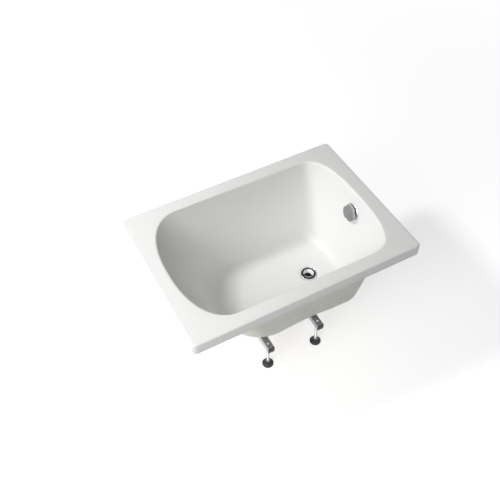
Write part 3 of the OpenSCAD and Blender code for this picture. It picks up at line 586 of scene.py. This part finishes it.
# An end cap as (half width, distance out of the tube's end) squares
CAP_SQUARES = ((0.0130, -0.010), (0.0130, 0.0), (0.0149, 0.0), (0.0150, 0.0002), (0.0150, 0.0022),
               (0.0147, 0.0027), (0.0142, 0.0030))


def square_outline(half, r, steps=6):
    """A square with rounded corners, round the Y axis, as (x, z) points."""
    points = []
    for quarter in range(4):
        for s in range(steps + 1):
            a = math.radians(90 * quarter + 90 * s / steps)
            sx, sz = ((1, 1), (-1, 1), (-1, -1), (1, -1))[quarter]
            points.append((sx * (half - r) + r * math.cos(a), sz * (half - r) + r * math.sin(a)))
    return points


def along_y(outline, y, x):
    """The outline set upright across a bar, at y along it."""
    return [(x + px, y, BAR_MIDDLE_Z + pz) for px, pz in outline]


def make_bar(name, node, x):
    """A square tube, open at both ends, with its holes for the feet and the wood screws."""
    outer = square_outline(BAR_SIDE / 2, BAR_CORNER)
    inner = square_outline(BAR_SIDE / 2 - BAR_WALL, BAR_CORNER - BAR_WALL)
    rings = [along_y(outer, -BAR_HALF, x), along_y(outer, BAR_HALF, x),
             along_y(inner, BAR_HALF, x), along_y(inner, -BAR_HALF, x)]
    bar = new_piece(name, sum(rings, []), ring_faces(len(rings), len(outer), True), slot="zinc_tube",
                    stands_for=(node,))
    face_outward(bar.data)
    cutters = []
    for y, radii in [(s * FOOT_Y, FOOT_HOLE) for s in (-1, 1)] + [(y, SCREW_HOLE) for y in SCREW_Y]:
        place = Matrix.Translation((x, y, BAR_Z0))
        cutters += [plain_cylinder(r, z0, z1, place, 40) for r, (z0, z1) in zip(radii, WALL_CUTS)]
    cut_with(bar, cutters)
    mark_sharp(bar)
    return bar


def join_parts(parts):
    """One list of points and faces from several."""
    verts, faces = [], []
    for part_verts, part_faces in parts:
        faces += [tuple(len(verts) + v for v in face) for face in part_faces]
        verts += list(part_verts)
    return verts, faces


def end_cap(x, side):
    """The plug in one end of a tube, closed at both of its own ends."""
    verts = []
    for half, out in CAP_SQUARES:
        corner = max(BAR_CORNER - (BAR_SIDE / 2 - half), CAP_CORNER_MIN)
        verts += along_y(square_outline(half, corner), side * (BAR_HALF + out), x)
    n = len(verts) // len(CAP_SQUARES)
    faces = ring_faces(len(CAP_SQUARES), n)
    faces += [tuple(range(n)), tuple(reversed(range(len(verts) - n, len(verts))))]
    return verts, faces


def make_end_caps():
    """Plastic plugs in the tubes' ends, each with a softened face."""
    parts = [end_cap(x, side) for x in BAR_X for side in (-1, 1)]
    caps = new_piece("tube_plugs", *join_parts(parts), slot="black_plastic", stands_for=("bar_end_caps",))
    clean(caps)
    return caps


STUD_R, THREAD_ROOT, PITCH = 0.0060, 0.00520, 0.00175
STUD_Z0, STUD_Z1, STUD_TIP_R, STUD_TIP_H = 0.0300, 0.1668, 0.0045, 0.0010
THREAD_STEPS, RIDGE = 24, ((THREAD_ROOT, 0), (STUD_R, 0.40), (STUD_R, 0.52))
NUT_FLAT, NUT_BORE, NUT_FACE, NUT_CHAMFER = 0.00935, 0.00605, 0.97, math.radians(28)
COLLAR_Z0, COLLAR_Z1 = 0.0240, 0.0310
LOCK_NUT_Z0, LOCK_NUT_Z1 = 0.1203, 0.1283
# The stud stands in the pad at this height. Closed profiles begin and end this near their axis.
STUD_FOOT_Z, AXIS = 0.008, 0.00001
# The pad as (radius, height, rounding) corners
PAD_CORNERS = ((AXIS, 0.0, 0), (0.0245, 0.0, 0.001), (0.025, 0.0062, 0.001), (0.0195, 0.0092, 0.002),
               (0.0111, 0.0135, 0.003), (0.0110, COLLAR_Z0, 0.0008), (NUT_BORE, COLLAR_Z0, 0.0003),
               (NUT_BORE, STUD_FOOT_Z, 0), (AXIS, STUD_FOOT_Z, 0))


def thread_mesh(x, y, z0, z1):
    """The ridge of a screw thread as a spiral strip over a plain core."""
    verts, faces = [], []
    count = int((z1 - z0) / PITCH * THREAD_STEPS)
    for k in range(count + THREAD_STEPS + 1):
        a = 2 * math.pi * k / THREAD_STEPS
        z = z0 + PITCH * (k / THREAD_STEPS - 1)
        for r, rise in RIDGE:
            height = min(max(z + rise * PITCH, z0), z1)
            verts.append((x + r * math.cos(a), y + r * math.sin(a), height))
    turn = 3 * THREAD_STEPS
    for k in range(count + THREAD_STEPS):
        a, b = 3 * k, 3 * (k + 1)
        faces += [(a, b, b + 1, a + 1), (a + 1, b + 1, b + 2, a + 2)]
        if a + turn + 3 < len(verts):
            faces.append((a + 2, b + 2, b + turn, a + turn))
    return verts, faces


def hex_radius(a):
    """Distance from a nut's middle to its side at an angle."""
    return NUT_FLAT / math.cos(a % (math.pi / 3) - math.pi / 6)


def hex_nut(x, y, z0, z1, bore, steps=72):
    """A hexagon nut with both ends chamfered, as rings round a closed section."""
    start = NUT_FLAT * NUT_FACE
    sections = []
    for k in range(steps):
        a = 2 * math.pi * k / steps
        side = hex_radius(a)
        drop = (side - start) * math.tan(NUT_CHAMFER)
        profile = ((bore, z0), (start, z0), (side, z0 + drop), (side, z1 - drop), (start, z1), (bore, z1))
        sections.append([(x + r * math.cos(a), y + r * math.sin(a), z) for r, z in profile])
    verts = [point for ring in zip(*sections) for point in ring]
    return verts, ring_faces(len(sections[0]), steps, True)


def turned_mesh(profile, x, y, steps=64):
    """A closed (r, z) profile in metres turned about an upright line."""
    verts = [(x + r * math.cos(2 * math.pi * k / steps), y + r * math.sin(2 * math.pi * k / steps), z)
             for r, z in profile for k in range(steps)]
    return verts, ring_faces(len(profile), steps, True)


def make_foot(side, x, y):
    """A threaded stud with its hexagon collar, and the pad that it stands in."""
    core = [(AXIS, STUD_FOOT_Z), (STUD_R, STUD_FOOT_Z), (STUD_R, STUD_Z0), (THREAD_ROOT, STUD_Z0),
            (THREAD_ROOT, STUD_Z1), (STUD_TIP_R, STUD_Z1 + STUD_TIP_H), (AXIS, STUD_Z1 + STUD_TIP_H)]
    parts = [turned_mesh(core, x, y), thread_mesh(x, y, STUD_Z0, STUD_Z1),
             hex_nut(x, y, COLLAR_Z0, COLLAR_Z1, STUD_R)]
    stud = new_piece("stud_" + side, *join_parts(parts), body="foot_" + side, slot="zinc",
                     stands_for=("foot_stud_" + side,))
    clean(stud, THREAD_SHARP_ANGLE)
    profile = [tuple(point) for point in round_points(PAD_CORNERS, 5)]
    pad = new_piece("pad_" + side, *turned_mesh(profile, x, y, 96), body="foot_" + side,
                    slot="black_plastic", stands_for=("foot_pad_" + side,))
    clean(pad)
    return [("zinc", stud), ("black_plastic", pad)]


def make_lock_nuts():
    parts = [hex_nut(x, s * FOOT_Y, LOCK_NUT_Z0, LOCK_NUT_Z1, NUT_BORE) for x in BAR_X for s in (-1, 1)]
    nuts = new_piece("hexagon_nuts", *join_parts(parts), slot="zinc", stands_for=("lock_nuts",))
    clean(nuts, NUT_SHARP_ANGLE)
    return nuts


BATTEN_ROUNDING, BOARD_ROUNDING = 0.0012, 0.0008
BATTEN_WOOD = (("front", "timber"), ("back", "timber"), ("left", "timber_across"), ("right", "timber_across"))


def make_frame():
    """All that carries the bath, as (material, piece) pairs."""
    made = []
    for side, wood in BATTEN_WOOD:
        made.append((wood, soft_box("batten_" + side, "rim_batten_" + side, BATTEN_ROUNDING, slot="timber")))
    made.append(("chipboard", soft_box("floor_board", "base_board", BOARD_ROUNDING, slot="chipboard")))
    made.append(("zinc_tube", make_bar("tube_left", "leg_bar_left", BAR_X[0])))
    made.append(("zinc_tube", make_bar("tube_right", "leg_bar_right", BAR_X[1])))
    made.append(("black_plastic", make_end_caps()))
    made.append(("zinc", make_lock_nuts()))
    for end, x in (("left", BAR_X[0]), ("right", BAR_X[1])):
        for row, y in (("front", -FOOT_Y), ("back", FOOT_Y)):
            made += make_foot(row + "_" + end, x, y)
    return made


# Shader nodes. In a group's function, given holds what goes into the group and result what comes out.

def add_node(tree, kind, **values):
    """A node with its settings and its input values: names with a capital are inputs."""
    node = tree.nodes.new(kind)
    for key, value in values.items():
        if key[0].isupper():
            node.inputs[key.replace("_", " ")].default_value = value
        else:
            setattr(node, key, value)
    return node


def math_node(tree, operation, socket, value, **settings):
    """A Math node with one fixed value, in the socket of that number."""
    node = add_node(tree, "ShaderNodeMath", operation=operation, **settings)
    node.inputs[socket].default_value = value
    return node


def link(tree, source, output, target, socket):
    tree.links.new(source.outputs[output], target.inputs[socket])


def new_group(name, inputs, outputs):
    """An empty shader node group with float inputs and outputs."""
    group = bpy.data.node_groups.new(name, "ShaderNodeTree")
    for label, value in inputs:
        socket = group.interface.new_socket(label, in_out="INPUT", socket_type="NodeSocketFloat")
        socket.default_value = value
    for label in outputs:
        group.interface.new_socket(label, in_out="OUTPUT", socket_type="NodeSocketFloat")
    return group, group.nodes.new("NodeGroupInput"), group.nodes.new("NodeGroupOutput")


# How much finer the smudges are than the slow unevenness, and the tone that the contrast leaves alone
PATCH_SHARE, MIDDLE_TONE = 3.1, 0.5
# Size of one strand of glass fibre in metres, and the ways that the strands lie
STRAND_SIZE = (0.050, 0.003, 0.003)
STRAND_WAYS = ((0, 1, 1.6), (0.2, -1, 1.6), (1, 1.6, 0.1), (-1, 1.6, 0), (1.6, 0.1, 1), (1.6, 0, -1))


def group_uneven():
    """Slow unevenness, smudges and a fine grain, from the object's own coordinates."""
    inputs = [("Tone Scale", 4.0), ("Grain Scale", 400.0), ("Contrast", 1.0)]
    group, given, result = new_group("uneven_surface", inputs, ("Tone", "Smudge", "Grain"))
    place = add_node(group, "ShaderNodeTexCoord")
    slow = add_node(group, "ShaderNodeTexNoise", Detail=3.0, Roughness=0.5)
    patch = add_node(group, "ShaderNodeTexNoise", Detail=6.0, Roughness=0.62, Distortion=0.6)
    fine = add_node(group, "ShaderNodeTexNoise", Detail=2.0, Roughness=0.5)
    finer = math_node(group, "MULTIPLY", 1, PATCH_SHARE)
    centre = math_node(group, "SUBTRACT", 1, MIDDLE_TONE)
    gain = math_node(group, "MULTIPLY_ADD", 2, MIDDLE_TONE, use_clamp=True)
    spots = add_node(group, "ShaderNodeMapRange", From_Min=0.52, From_Max=0.72)
    for noise in (slow, patch, fine):
        link(group, place, "Object", noise, "Vector")
    link(group, given, "Tone Scale", slow, "Scale")
    link(group, given, "Tone Scale", finer, 0)
    link(group, finer, 0, patch, "Scale")
    link(group, given, "Grain Scale", fine, "Scale")
    link(group, slow, 0, centre, 0)
    link(group, centre, 0, gain, 0)
    link(group, given, "Contrast", gain, 1)
    link(group, patch, 0, spots, "Value")
    link(group, gain, 0, result, "Tone")
    link(group, spots, 0, result, "Smudge")
    link(group, fine, 0, result, "Grain")
    return group


def strand_noise(group, place, way):
    """Noise drawn out along one way."""
    turn = Vector((1, 0, 0)).rotation_difference(Vector(way)).to_euler()
    mapping = add_node(group, "ShaderNodeMapping", vector_type="TEXTURE", Rotation=turn, Scale=STRAND_SIZE)
    texture = add_node(group, "ShaderNodeTexNoise", Scale=1.0, Detail=1.0)
    link(group, place, "Object", mapping, "Vector")
    link(group, mapping, 0, texture, "Vector")
    return texture


def group_strands():
    """Chopped strands lying all ways, as in a hand-laid glass-fibre layer."""
    group, _, result = new_group("chopped_strands", [], ("Strand", "Lump"))
    place = add_node(group, "ShaderNodeTexCoord")
    last = strand_noise(group, place, STRAND_WAYS[0])
    for way in STRAND_WAYS[1:]:
        texture = strand_noise(group, place, way)
        larger = add_node(group, "ShaderNodeMath", operation="MAXIMUM")
        link(group, last, 0, larger, 0)
        link(group, texture, 0, larger, 1)
        last = larger
    sharpen = add_node(group, "ShaderNodeMapRange", From_Min=0.57, From_Max=0.68)
    link(group, last, 0, sharpen, "Value")
    lump = add_node(group, "ShaderNodeTexNoise", Scale=38.0, Detail=3.0)
    link(group, place, "Object", lump, "Vector")
    link(group, sharpen, 0, result, "Strand")
    link(group, lump, 0, result, "Lump")
    return group


def group_grain():
    """Year rings and fibres of timber, drawn out by the place that it is given."""
    group, given, result = new_group("timber_grain", [], ("Ring", "Fibre"))
    group.interface.new_socket("Place", in_out="INPUT", socket_type="NodeSocketVector")
    rings = add_node(group, "ShaderNodeTexWave", Scale=1.0, Distortion=5.0, Detail=2.0)
    fibre = add_node(group, "ShaderNodeTexNoise", Scale=9.0, Detail=4.0)
    for texture in (rings, fibre):
        link(group, given, "Place", texture, "Vector")
    link(group, rings, 1, result, "Ring")
    link(group, fibre, 0, result, "Fibre")
    return group


UNEVEN = group_uneven()
STRANDS = group_strands()
GRAIN = group_grain()


def new_material(name):
    material = bpy.data.materials.new(name)
    material.use_nodes = True
    tree = material.node_tree
    return material, tree, tree.nodes["Principled BSDF"]


def finish(name, colour, shade, rough, smudged_rough, tone_scale=4.0, grain_scale=400.0, bump=0.05,
           bump_depth=0.0002, contrast=2.0, **surface):
    """Two close colours mixed by slow unevenness, roughness by smudges and bump by the grain."""
    material, tree, shader = new_material(name)
    uneven = add_node(tree, "ShaderNodeGroup", node_tree=UNEVEN, Tone_Scale=tone_scale,
                      Grain_Scale=grain_scale, Contrast=contrast)
    two_tone(tree, shader, uneven, "Tone", colour, shade)
    roughness_range(tree, shader, uneven, "Smudge", rough, smudged_rough)
    relief(tree, shader, uneven, "Grain", bump, bump_depth)
    for key, value in surface.items():
        shader.inputs[key.replace("_", " ")].default_value = value
    return material


# Sockets of a Mix node that mixes colours
MIX_SHARE, MIX_A, MIX_B, MIX_RESULT = 0, 6, 7, 2


def two_tone(tree, shader, source, output, colour, shade):
    """Base colour between two close colours."""
    mix = add_node(tree, "ShaderNodeMix", data_type="RGBA")
    mix.inputs[MIX_A].default_value = (*shade, 1)
    mix.inputs[MIX_B].default_value = (*colour, 1)
    link(tree, source, output, mix, MIX_SHARE)
    link(tree, mix, MIX_RESULT, shader, "Base Color")


def relief(tree, shader, source, output, strength, depth):
    """Bumps of a depth in metres."""
    bump = add_node(tree, "ShaderNodeBump", Strength=strength, Distance=depth)
    link(tree, source, output, bump, "Height")
    link(tree, bump, 0, shader, "Normal")


def roughness_range(tree, shader, source, output, low, high):
    """Roughness between two values."""
    spread = add_node(tree, "ShaderNodeMapRange", To_Min=low, To_Max=high)
    link(tree, source, output, spread, "Value")
    link(tree, spread, 0, shader, "Roughness")


# How far the strands stand out, against the lumps
STRAND_HEIGHT = 0.35


def glass_fibre_finish():
    """Chopped strands set in clear resin, seen from the back of the bath."""
    material, tree, shader = new_material("glass_fibre")
    strands = add_node(tree, "ShaderNodeGroup", node_tree=STRANDS)
    two_tone(tree, shader, strands, "Strand", (0.85, 0.85, 0.79), (0.68, 0.68, 0.60))
    roughness_range(tree, shader, strands, "Lump", 0.35, 0.60)
    mixed = math_node(tree, "MULTIPLY_ADD", 1, STRAND_HEIGHT)
    link(tree, strands, "Strand", mixed, 0)
    link(tree, strands, "Lump", mixed, 2)
    relief(tree, shader, mixed, 0, 0.55, 0.0016)
    return material


def timber_finish(name, stretch):
    """Timber with its grain along the axis that is stretched least."""
    material, tree, shader = new_material(name)
    place = add_node(tree, "ShaderNodeTexCoord")
    mapping = add_node(tree, "ShaderNodeMapping", Scale=stretch)
    link(tree, place, "Object", mapping, "Vector")
    grain = add_node(tree, "ShaderNodeGroup", node_tree=GRAIN)
    link(tree, mapping, 0, grain, "Place")
    two_tone(tree, shader, grain, "Ring", (0.70, 0.53, 0.32), (0.54, 0.37, 0.20))
    roughness_range(tree, shader, grain, "Fibre", 0.6, 0.85)
    relief(tree, shader, grain, "Fibre", 0.35, 0.0005)
    return material


def chipboard_finish():
    """Flakes of wood, each with a shade and a roughness of its own."""
    material, tree, shader = new_material("chipboard")
    place = add_node(tree, "ShaderNodeTexCoord")
    flakes = add_node(tree, "ShaderNodeTexVoronoi", Scale=230.0)
    link(tree, place, "Object", flakes, "Vector")
    split = add_node(tree, "ShaderNodeSeparateColor")
    link(tree, flakes, "Color", split, 0)
    two_tone(tree, shader, split, 0, (0.66, 0.50, 0.30), (0.44, 0.30, 0.16))
    roughness_range(tree, shader, split, 1, 0.7, 0.9)
    relief(tree, shader, flakes, "Distance", 0.4, 0.0006)
    return material


def make_materials():
    """Every finish by its name. The main colour and its shade come first, then the range of roughness."""
    return {
        "acrylic": finish("white_acrylic", (0.86, 0.86, 0.85), (0.845, 0.845, 0.833), 0.33, 0.37,
                          tone_scale=1.5, grain_scale=160, bump=0.03, bump_depth=0.0004, IOR=1.46,
                          Specular_IOR_Level=0.28),
        "glass_fibre": glass_fibre_finish(),
        "chipboard": chipboard_finish(),
        "timber": timber_finish("timber_along", (2.5, 60, 60)),
        "timber_across": timber_finish("timber_across", (60, 2.5, 60)),
        "zinc_tube": finish("zinc_tube", (0.50, 0.51, 0.53), (0.40, 0.41, 0.43), 0.32, 0.5,
                            tone_scale=60, grain_scale=900, bump=0.08, Metallic=1.0),
        "zinc": finish("zinc_plate", (0.54, 0.54, 0.52), (0.44, 0.44, 0.41), 0.28, 0.45,
                       tone_scale=90, grain_scale=900, bump=0.08, Metallic=1.0),
        "steel": finish("satin_steel", (0.62, 0.62, 0.62), (0.52, 0.52, 0.52), 0.25, 0.4,
                        tone_scale=80, grain_scale=1200, bump=0.06, Metallic=1.0),
        "chrome": finish("polished_chrome", (0.82, 0.83, 0.85), (0.79, 0.80, 0.82), 0.02, 0.06,
                         tone_scale=25, grain_scale=700, bump=0.01, bump_depth=0.0001, Metallic=1.0),
        "satin_chrome": finish("satin_chrome", (0.50, 0.52, 0.52), (0.45, 0.47, 0.47), 0.14, 0.24,
                               tone_scale=40, grain_scale=900, bump=0.03, bump_depth=0.0001, Metallic=1.0),
        "seal_rubber": finish("seal_rubber", (0.016, 0.016, 0.016), (0.010, 0.010, 0.010), 0.5, 0.7,
                              tone_scale=60, grain_scale=1500, bump=0.2, Specular_IOR_Level=0.3),
        "white_plastic": finish("white_plastic", (0.80, 0.80, 0.78), (0.76, 0.76, 0.73), 0.3, 0.42,
                                tone_scale=20, grain_scale=900, bump=0.06),
        "black_plastic": finish("black_plastic", (0.045, 0.045, 0.048), (0.03, 0.03, 0.032), 0.4, 0.6,
                                tone_scale=50, grain_scale=1200, bump=0.15)}


def dress(pieces, materials):
    """Gives every carried-over solid the material of its slot, and every piece the material named beside it.
    """
    slot_of = {entry["node"]: entry["material_slot"] for entry in frame["record"]["subparts"]}
    for node, obj in frame["nodes"].items():
        set_material(obj, materials[slot_of[node]])
    for name, piece in pieces:
        set_material(piece, materials[name])


def set_material(obj, material):
    obj.data.materials.clear()
    obj.data.materials.append(material)


# Stage, light and camera

def camera_mask(tree):
    """1 for rays that show a background: straight from the camera, mirrored or through glass."""
    path = add_node(tree, "ShaderNodeLightPath")
    first = add_node(tree, "ShaderNodeMath", operation="MAXIMUM")
    both = add_node(tree, "ShaderNodeMath", operation="MAXIMUM")
    link(tree, path, "Is Camera Ray", first, 0)
    link(tree, path, "Is Glossy Ray", first, 1)
    link(tree, first, 0, both, 0)
    link(tree, path, "Is Transmission Ray", both, 1)
    return both


FLOOR_HALF = 40.0
# How much the floor glows for the camera: near the bath, and far from its lamps
FLOOR_LIFT, FAR_LIFT = 0.60, 0.84
GLOW_NEAR, GLOW_FAR = 1.2, 5.0
WORLD_LEVEL = 0.20


def flat_sheet(name, corners):
    mesh = bpy.data.meshes.new(name)
    mesh.from_pydata(corners, [], [(0, 1, 2, 3)])
    return link_object(name, mesh)


def floor_finish():
    """A matt pale floor that glows a little where the camera sees it, so that it stays pale far away."""
    material = bpy.data.materials.new("pale_floor")
    material.use_nodes = True
    tree = material.node_tree
    tree.nodes.clear()
    out = add_node(tree, "ShaderNodeOutputMaterial")
    matt = add_node(tree, "ShaderNodeBsdfDiffuse", Color=(0.80, 0.80, 0.80, 1))
    glow = add_node(tree, "ShaderNodeEmission", Color=(1, 1, 1, 1))
    place = add_node(tree, "ShaderNodeTexCoord")
    away = add_node(tree, "ShaderNodeVectorMath", operation="LENGTH")
    near_far = add_node(tree, "ShaderNodeMapRange", interpolation_type="SMOOTHSTEP", From_Min=GLOW_NEAR,
                        From_Max=GLOW_FAR, To_Min=FLOOR_LIFT, To_Max=FAR_LIFT)
    lift = add_node(tree, "ShaderNodeMath", operation="MULTIPLY")
    add = add_node(tree, "ShaderNodeAddShader")
    link(tree, place, "Object", away, 0)
    link(tree, away, "Value", near_far, "Value")
    link(tree, near_far, 0, lift, 1)
    link(tree, camera_mask(tree), 0, lift, 0)
    link(tree, lift, 0, glow, "Strength")
    link(tree, matt, 0, add, 0)
    link(tree, glow, 0, add, 1)
    link(tree, add, 0, out, "Surface")
    return material


def make_floor():
    corners = [(x * FLOOR_HALF, y * FLOOR_HALF, 0) for x, y in ((-1, -1), (1, -1), (1, 1), (-1, 1))]
    floor = flat_sheet("floor", corners)
    set_material(floor, floor_finish())


def make_world():
    """White where the camera looks past the floor, and a low even light for all else."""
    world = bpy.data.worlds.new("studio")
    bpy.context.scene.world = world
    world.use_nodes = True
    tree = world.node_tree
    tree.nodes.clear()
    out = add_node(tree, "ShaderNodeOutputWorld")
    background = add_node(tree, "ShaderNodeBackground", Color=(1, 1, 1, 1))
    level = add_node(tree, "ShaderNodeMapRange", To_Min=WORLD_LEVEL, To_Max=1.0)
    link(tree, camera_mask(tree), 0, level, "Value")
    link(tree, level, 0, background, "Strength")
    link(tree, background, 0, out, "Surface")


LAMP_AIM = Vector((0.0, 0.0, 0.45))
# Each lamp's name, place, width and power
LAMPS = (("key", (-1.890, 1.005, 2.828), 0.5, 57), ("fill", (-2.270, -1.311, 2.285), 1.8, 50))


def make_lights():
    """A small lamp for the form of the bowl and a wide one for the sides that the camera sees."""
    for name, place, width, power in LAMPS:
        light = bpy.data.lights.new(name, "AREA")
        light.shape = "RECTANGLE"
        light.size = light.size_y = width
        light.energy = power
        lamp = link_object(name, light)
        lamp.location = place
        lamp.rotation_euler = (LAMP_AIM - Vector(place)).to_track_quat("-Z", "Y").to_euler()


CAMERA_AT = Vector((-0.968, -1.673, 2.741))
CAMERA_YAW, CAMERA_PITCH, CAMERA_ROLL = math.radians(27.88), math.radians(49.57), math.radians(-0.70)
CAMERA_LENS, SENSOR_WIDTH = 51.9, 36
# Level directions from the camera: to the right, and away from it
RIGHT = Vector((math.cos(CAMERA_YAW), -math.sin(CAMERA_YAW), 0))
AWAY = Vector((math.sin(CAMERA_YAW), math.cos(CAMERA_YAW), 0))
# Where the card hangs, and its corners along these two
CARD_AT = Vector((1.70, 2.11, 3.4))
CARD_CORNERS = ((-2.4, -2.2), (3.6, -2.2), (3.6, 1.3), (-2.4, 1.3))


def make_card():
    """A dark card overhead that only shows in polished metal, as the dark side of the studio does."""
    card = flat_sheet("dark_card", [CARD_AT + RIGHT * a + AWAY * b for a, b in CARD_CORNERS])
    for ray in ("camera", "diffuse", "shadow", "transmission", "volume_scatter"):
        setattr(card, "visible_" + ray, False)
    material, _, shader = new_material("matt_black")
    shader.inputs["Base Color"].default_value = (0.012, 0.012, 0.012, 1)
    shader.inputs["Roughness"].default_value = 0.9
    set_material(card, material)


def make_camera():
    """The camera as fitted to the rim's corners and the floor's outline in the photo."""
    ahead = AWAY * math.cos(CAMERA_PITCH) - Vector((0, 0, math.sin(CAMERA_PITCH)))
    up = RIGHT.cross(ahead)
    x_axis = RIGHT * math.cos(CAMERA_ROLL) + up * math.sin(CAMERA_ROLL)
    y_axis = up * math.cos(CAMERA_ROLL) - RIGHT * math.sin(CAMERA_ROLL)
    lens = bpy.data.cameras.new("photo_view")
    lens.sensor_width = SENSOR_WIDTH
    lens.lens = CAMERA_LENS
    camera = link_object("photo_view", lens)
    turn = Matrix((x_axis, y_axis, -ahead)).transposed().to_4x4()
    camera.matrix_world = Matrix.Translation(CAMERA_AT) @ turn
    bpy.context.scene.camera = camera


make_camera()
pieces = [("acrylic", make_tub()), ("glass_fibre", make_backing()), ("chrome", make_flange()),
          ("chrome", make_guide()), ("chrome", make_plug()), ("seal_rubber", make_seal()),
          ("chrome", make_rosette()), ("satin_chrome", make_knob())]
pieces += make_frame()
dress(pieces, make_materials())
make_floor()
make_world()
make_card()
make_lights()
bpy.context.scene.view_settings.view_transform = "Standard"
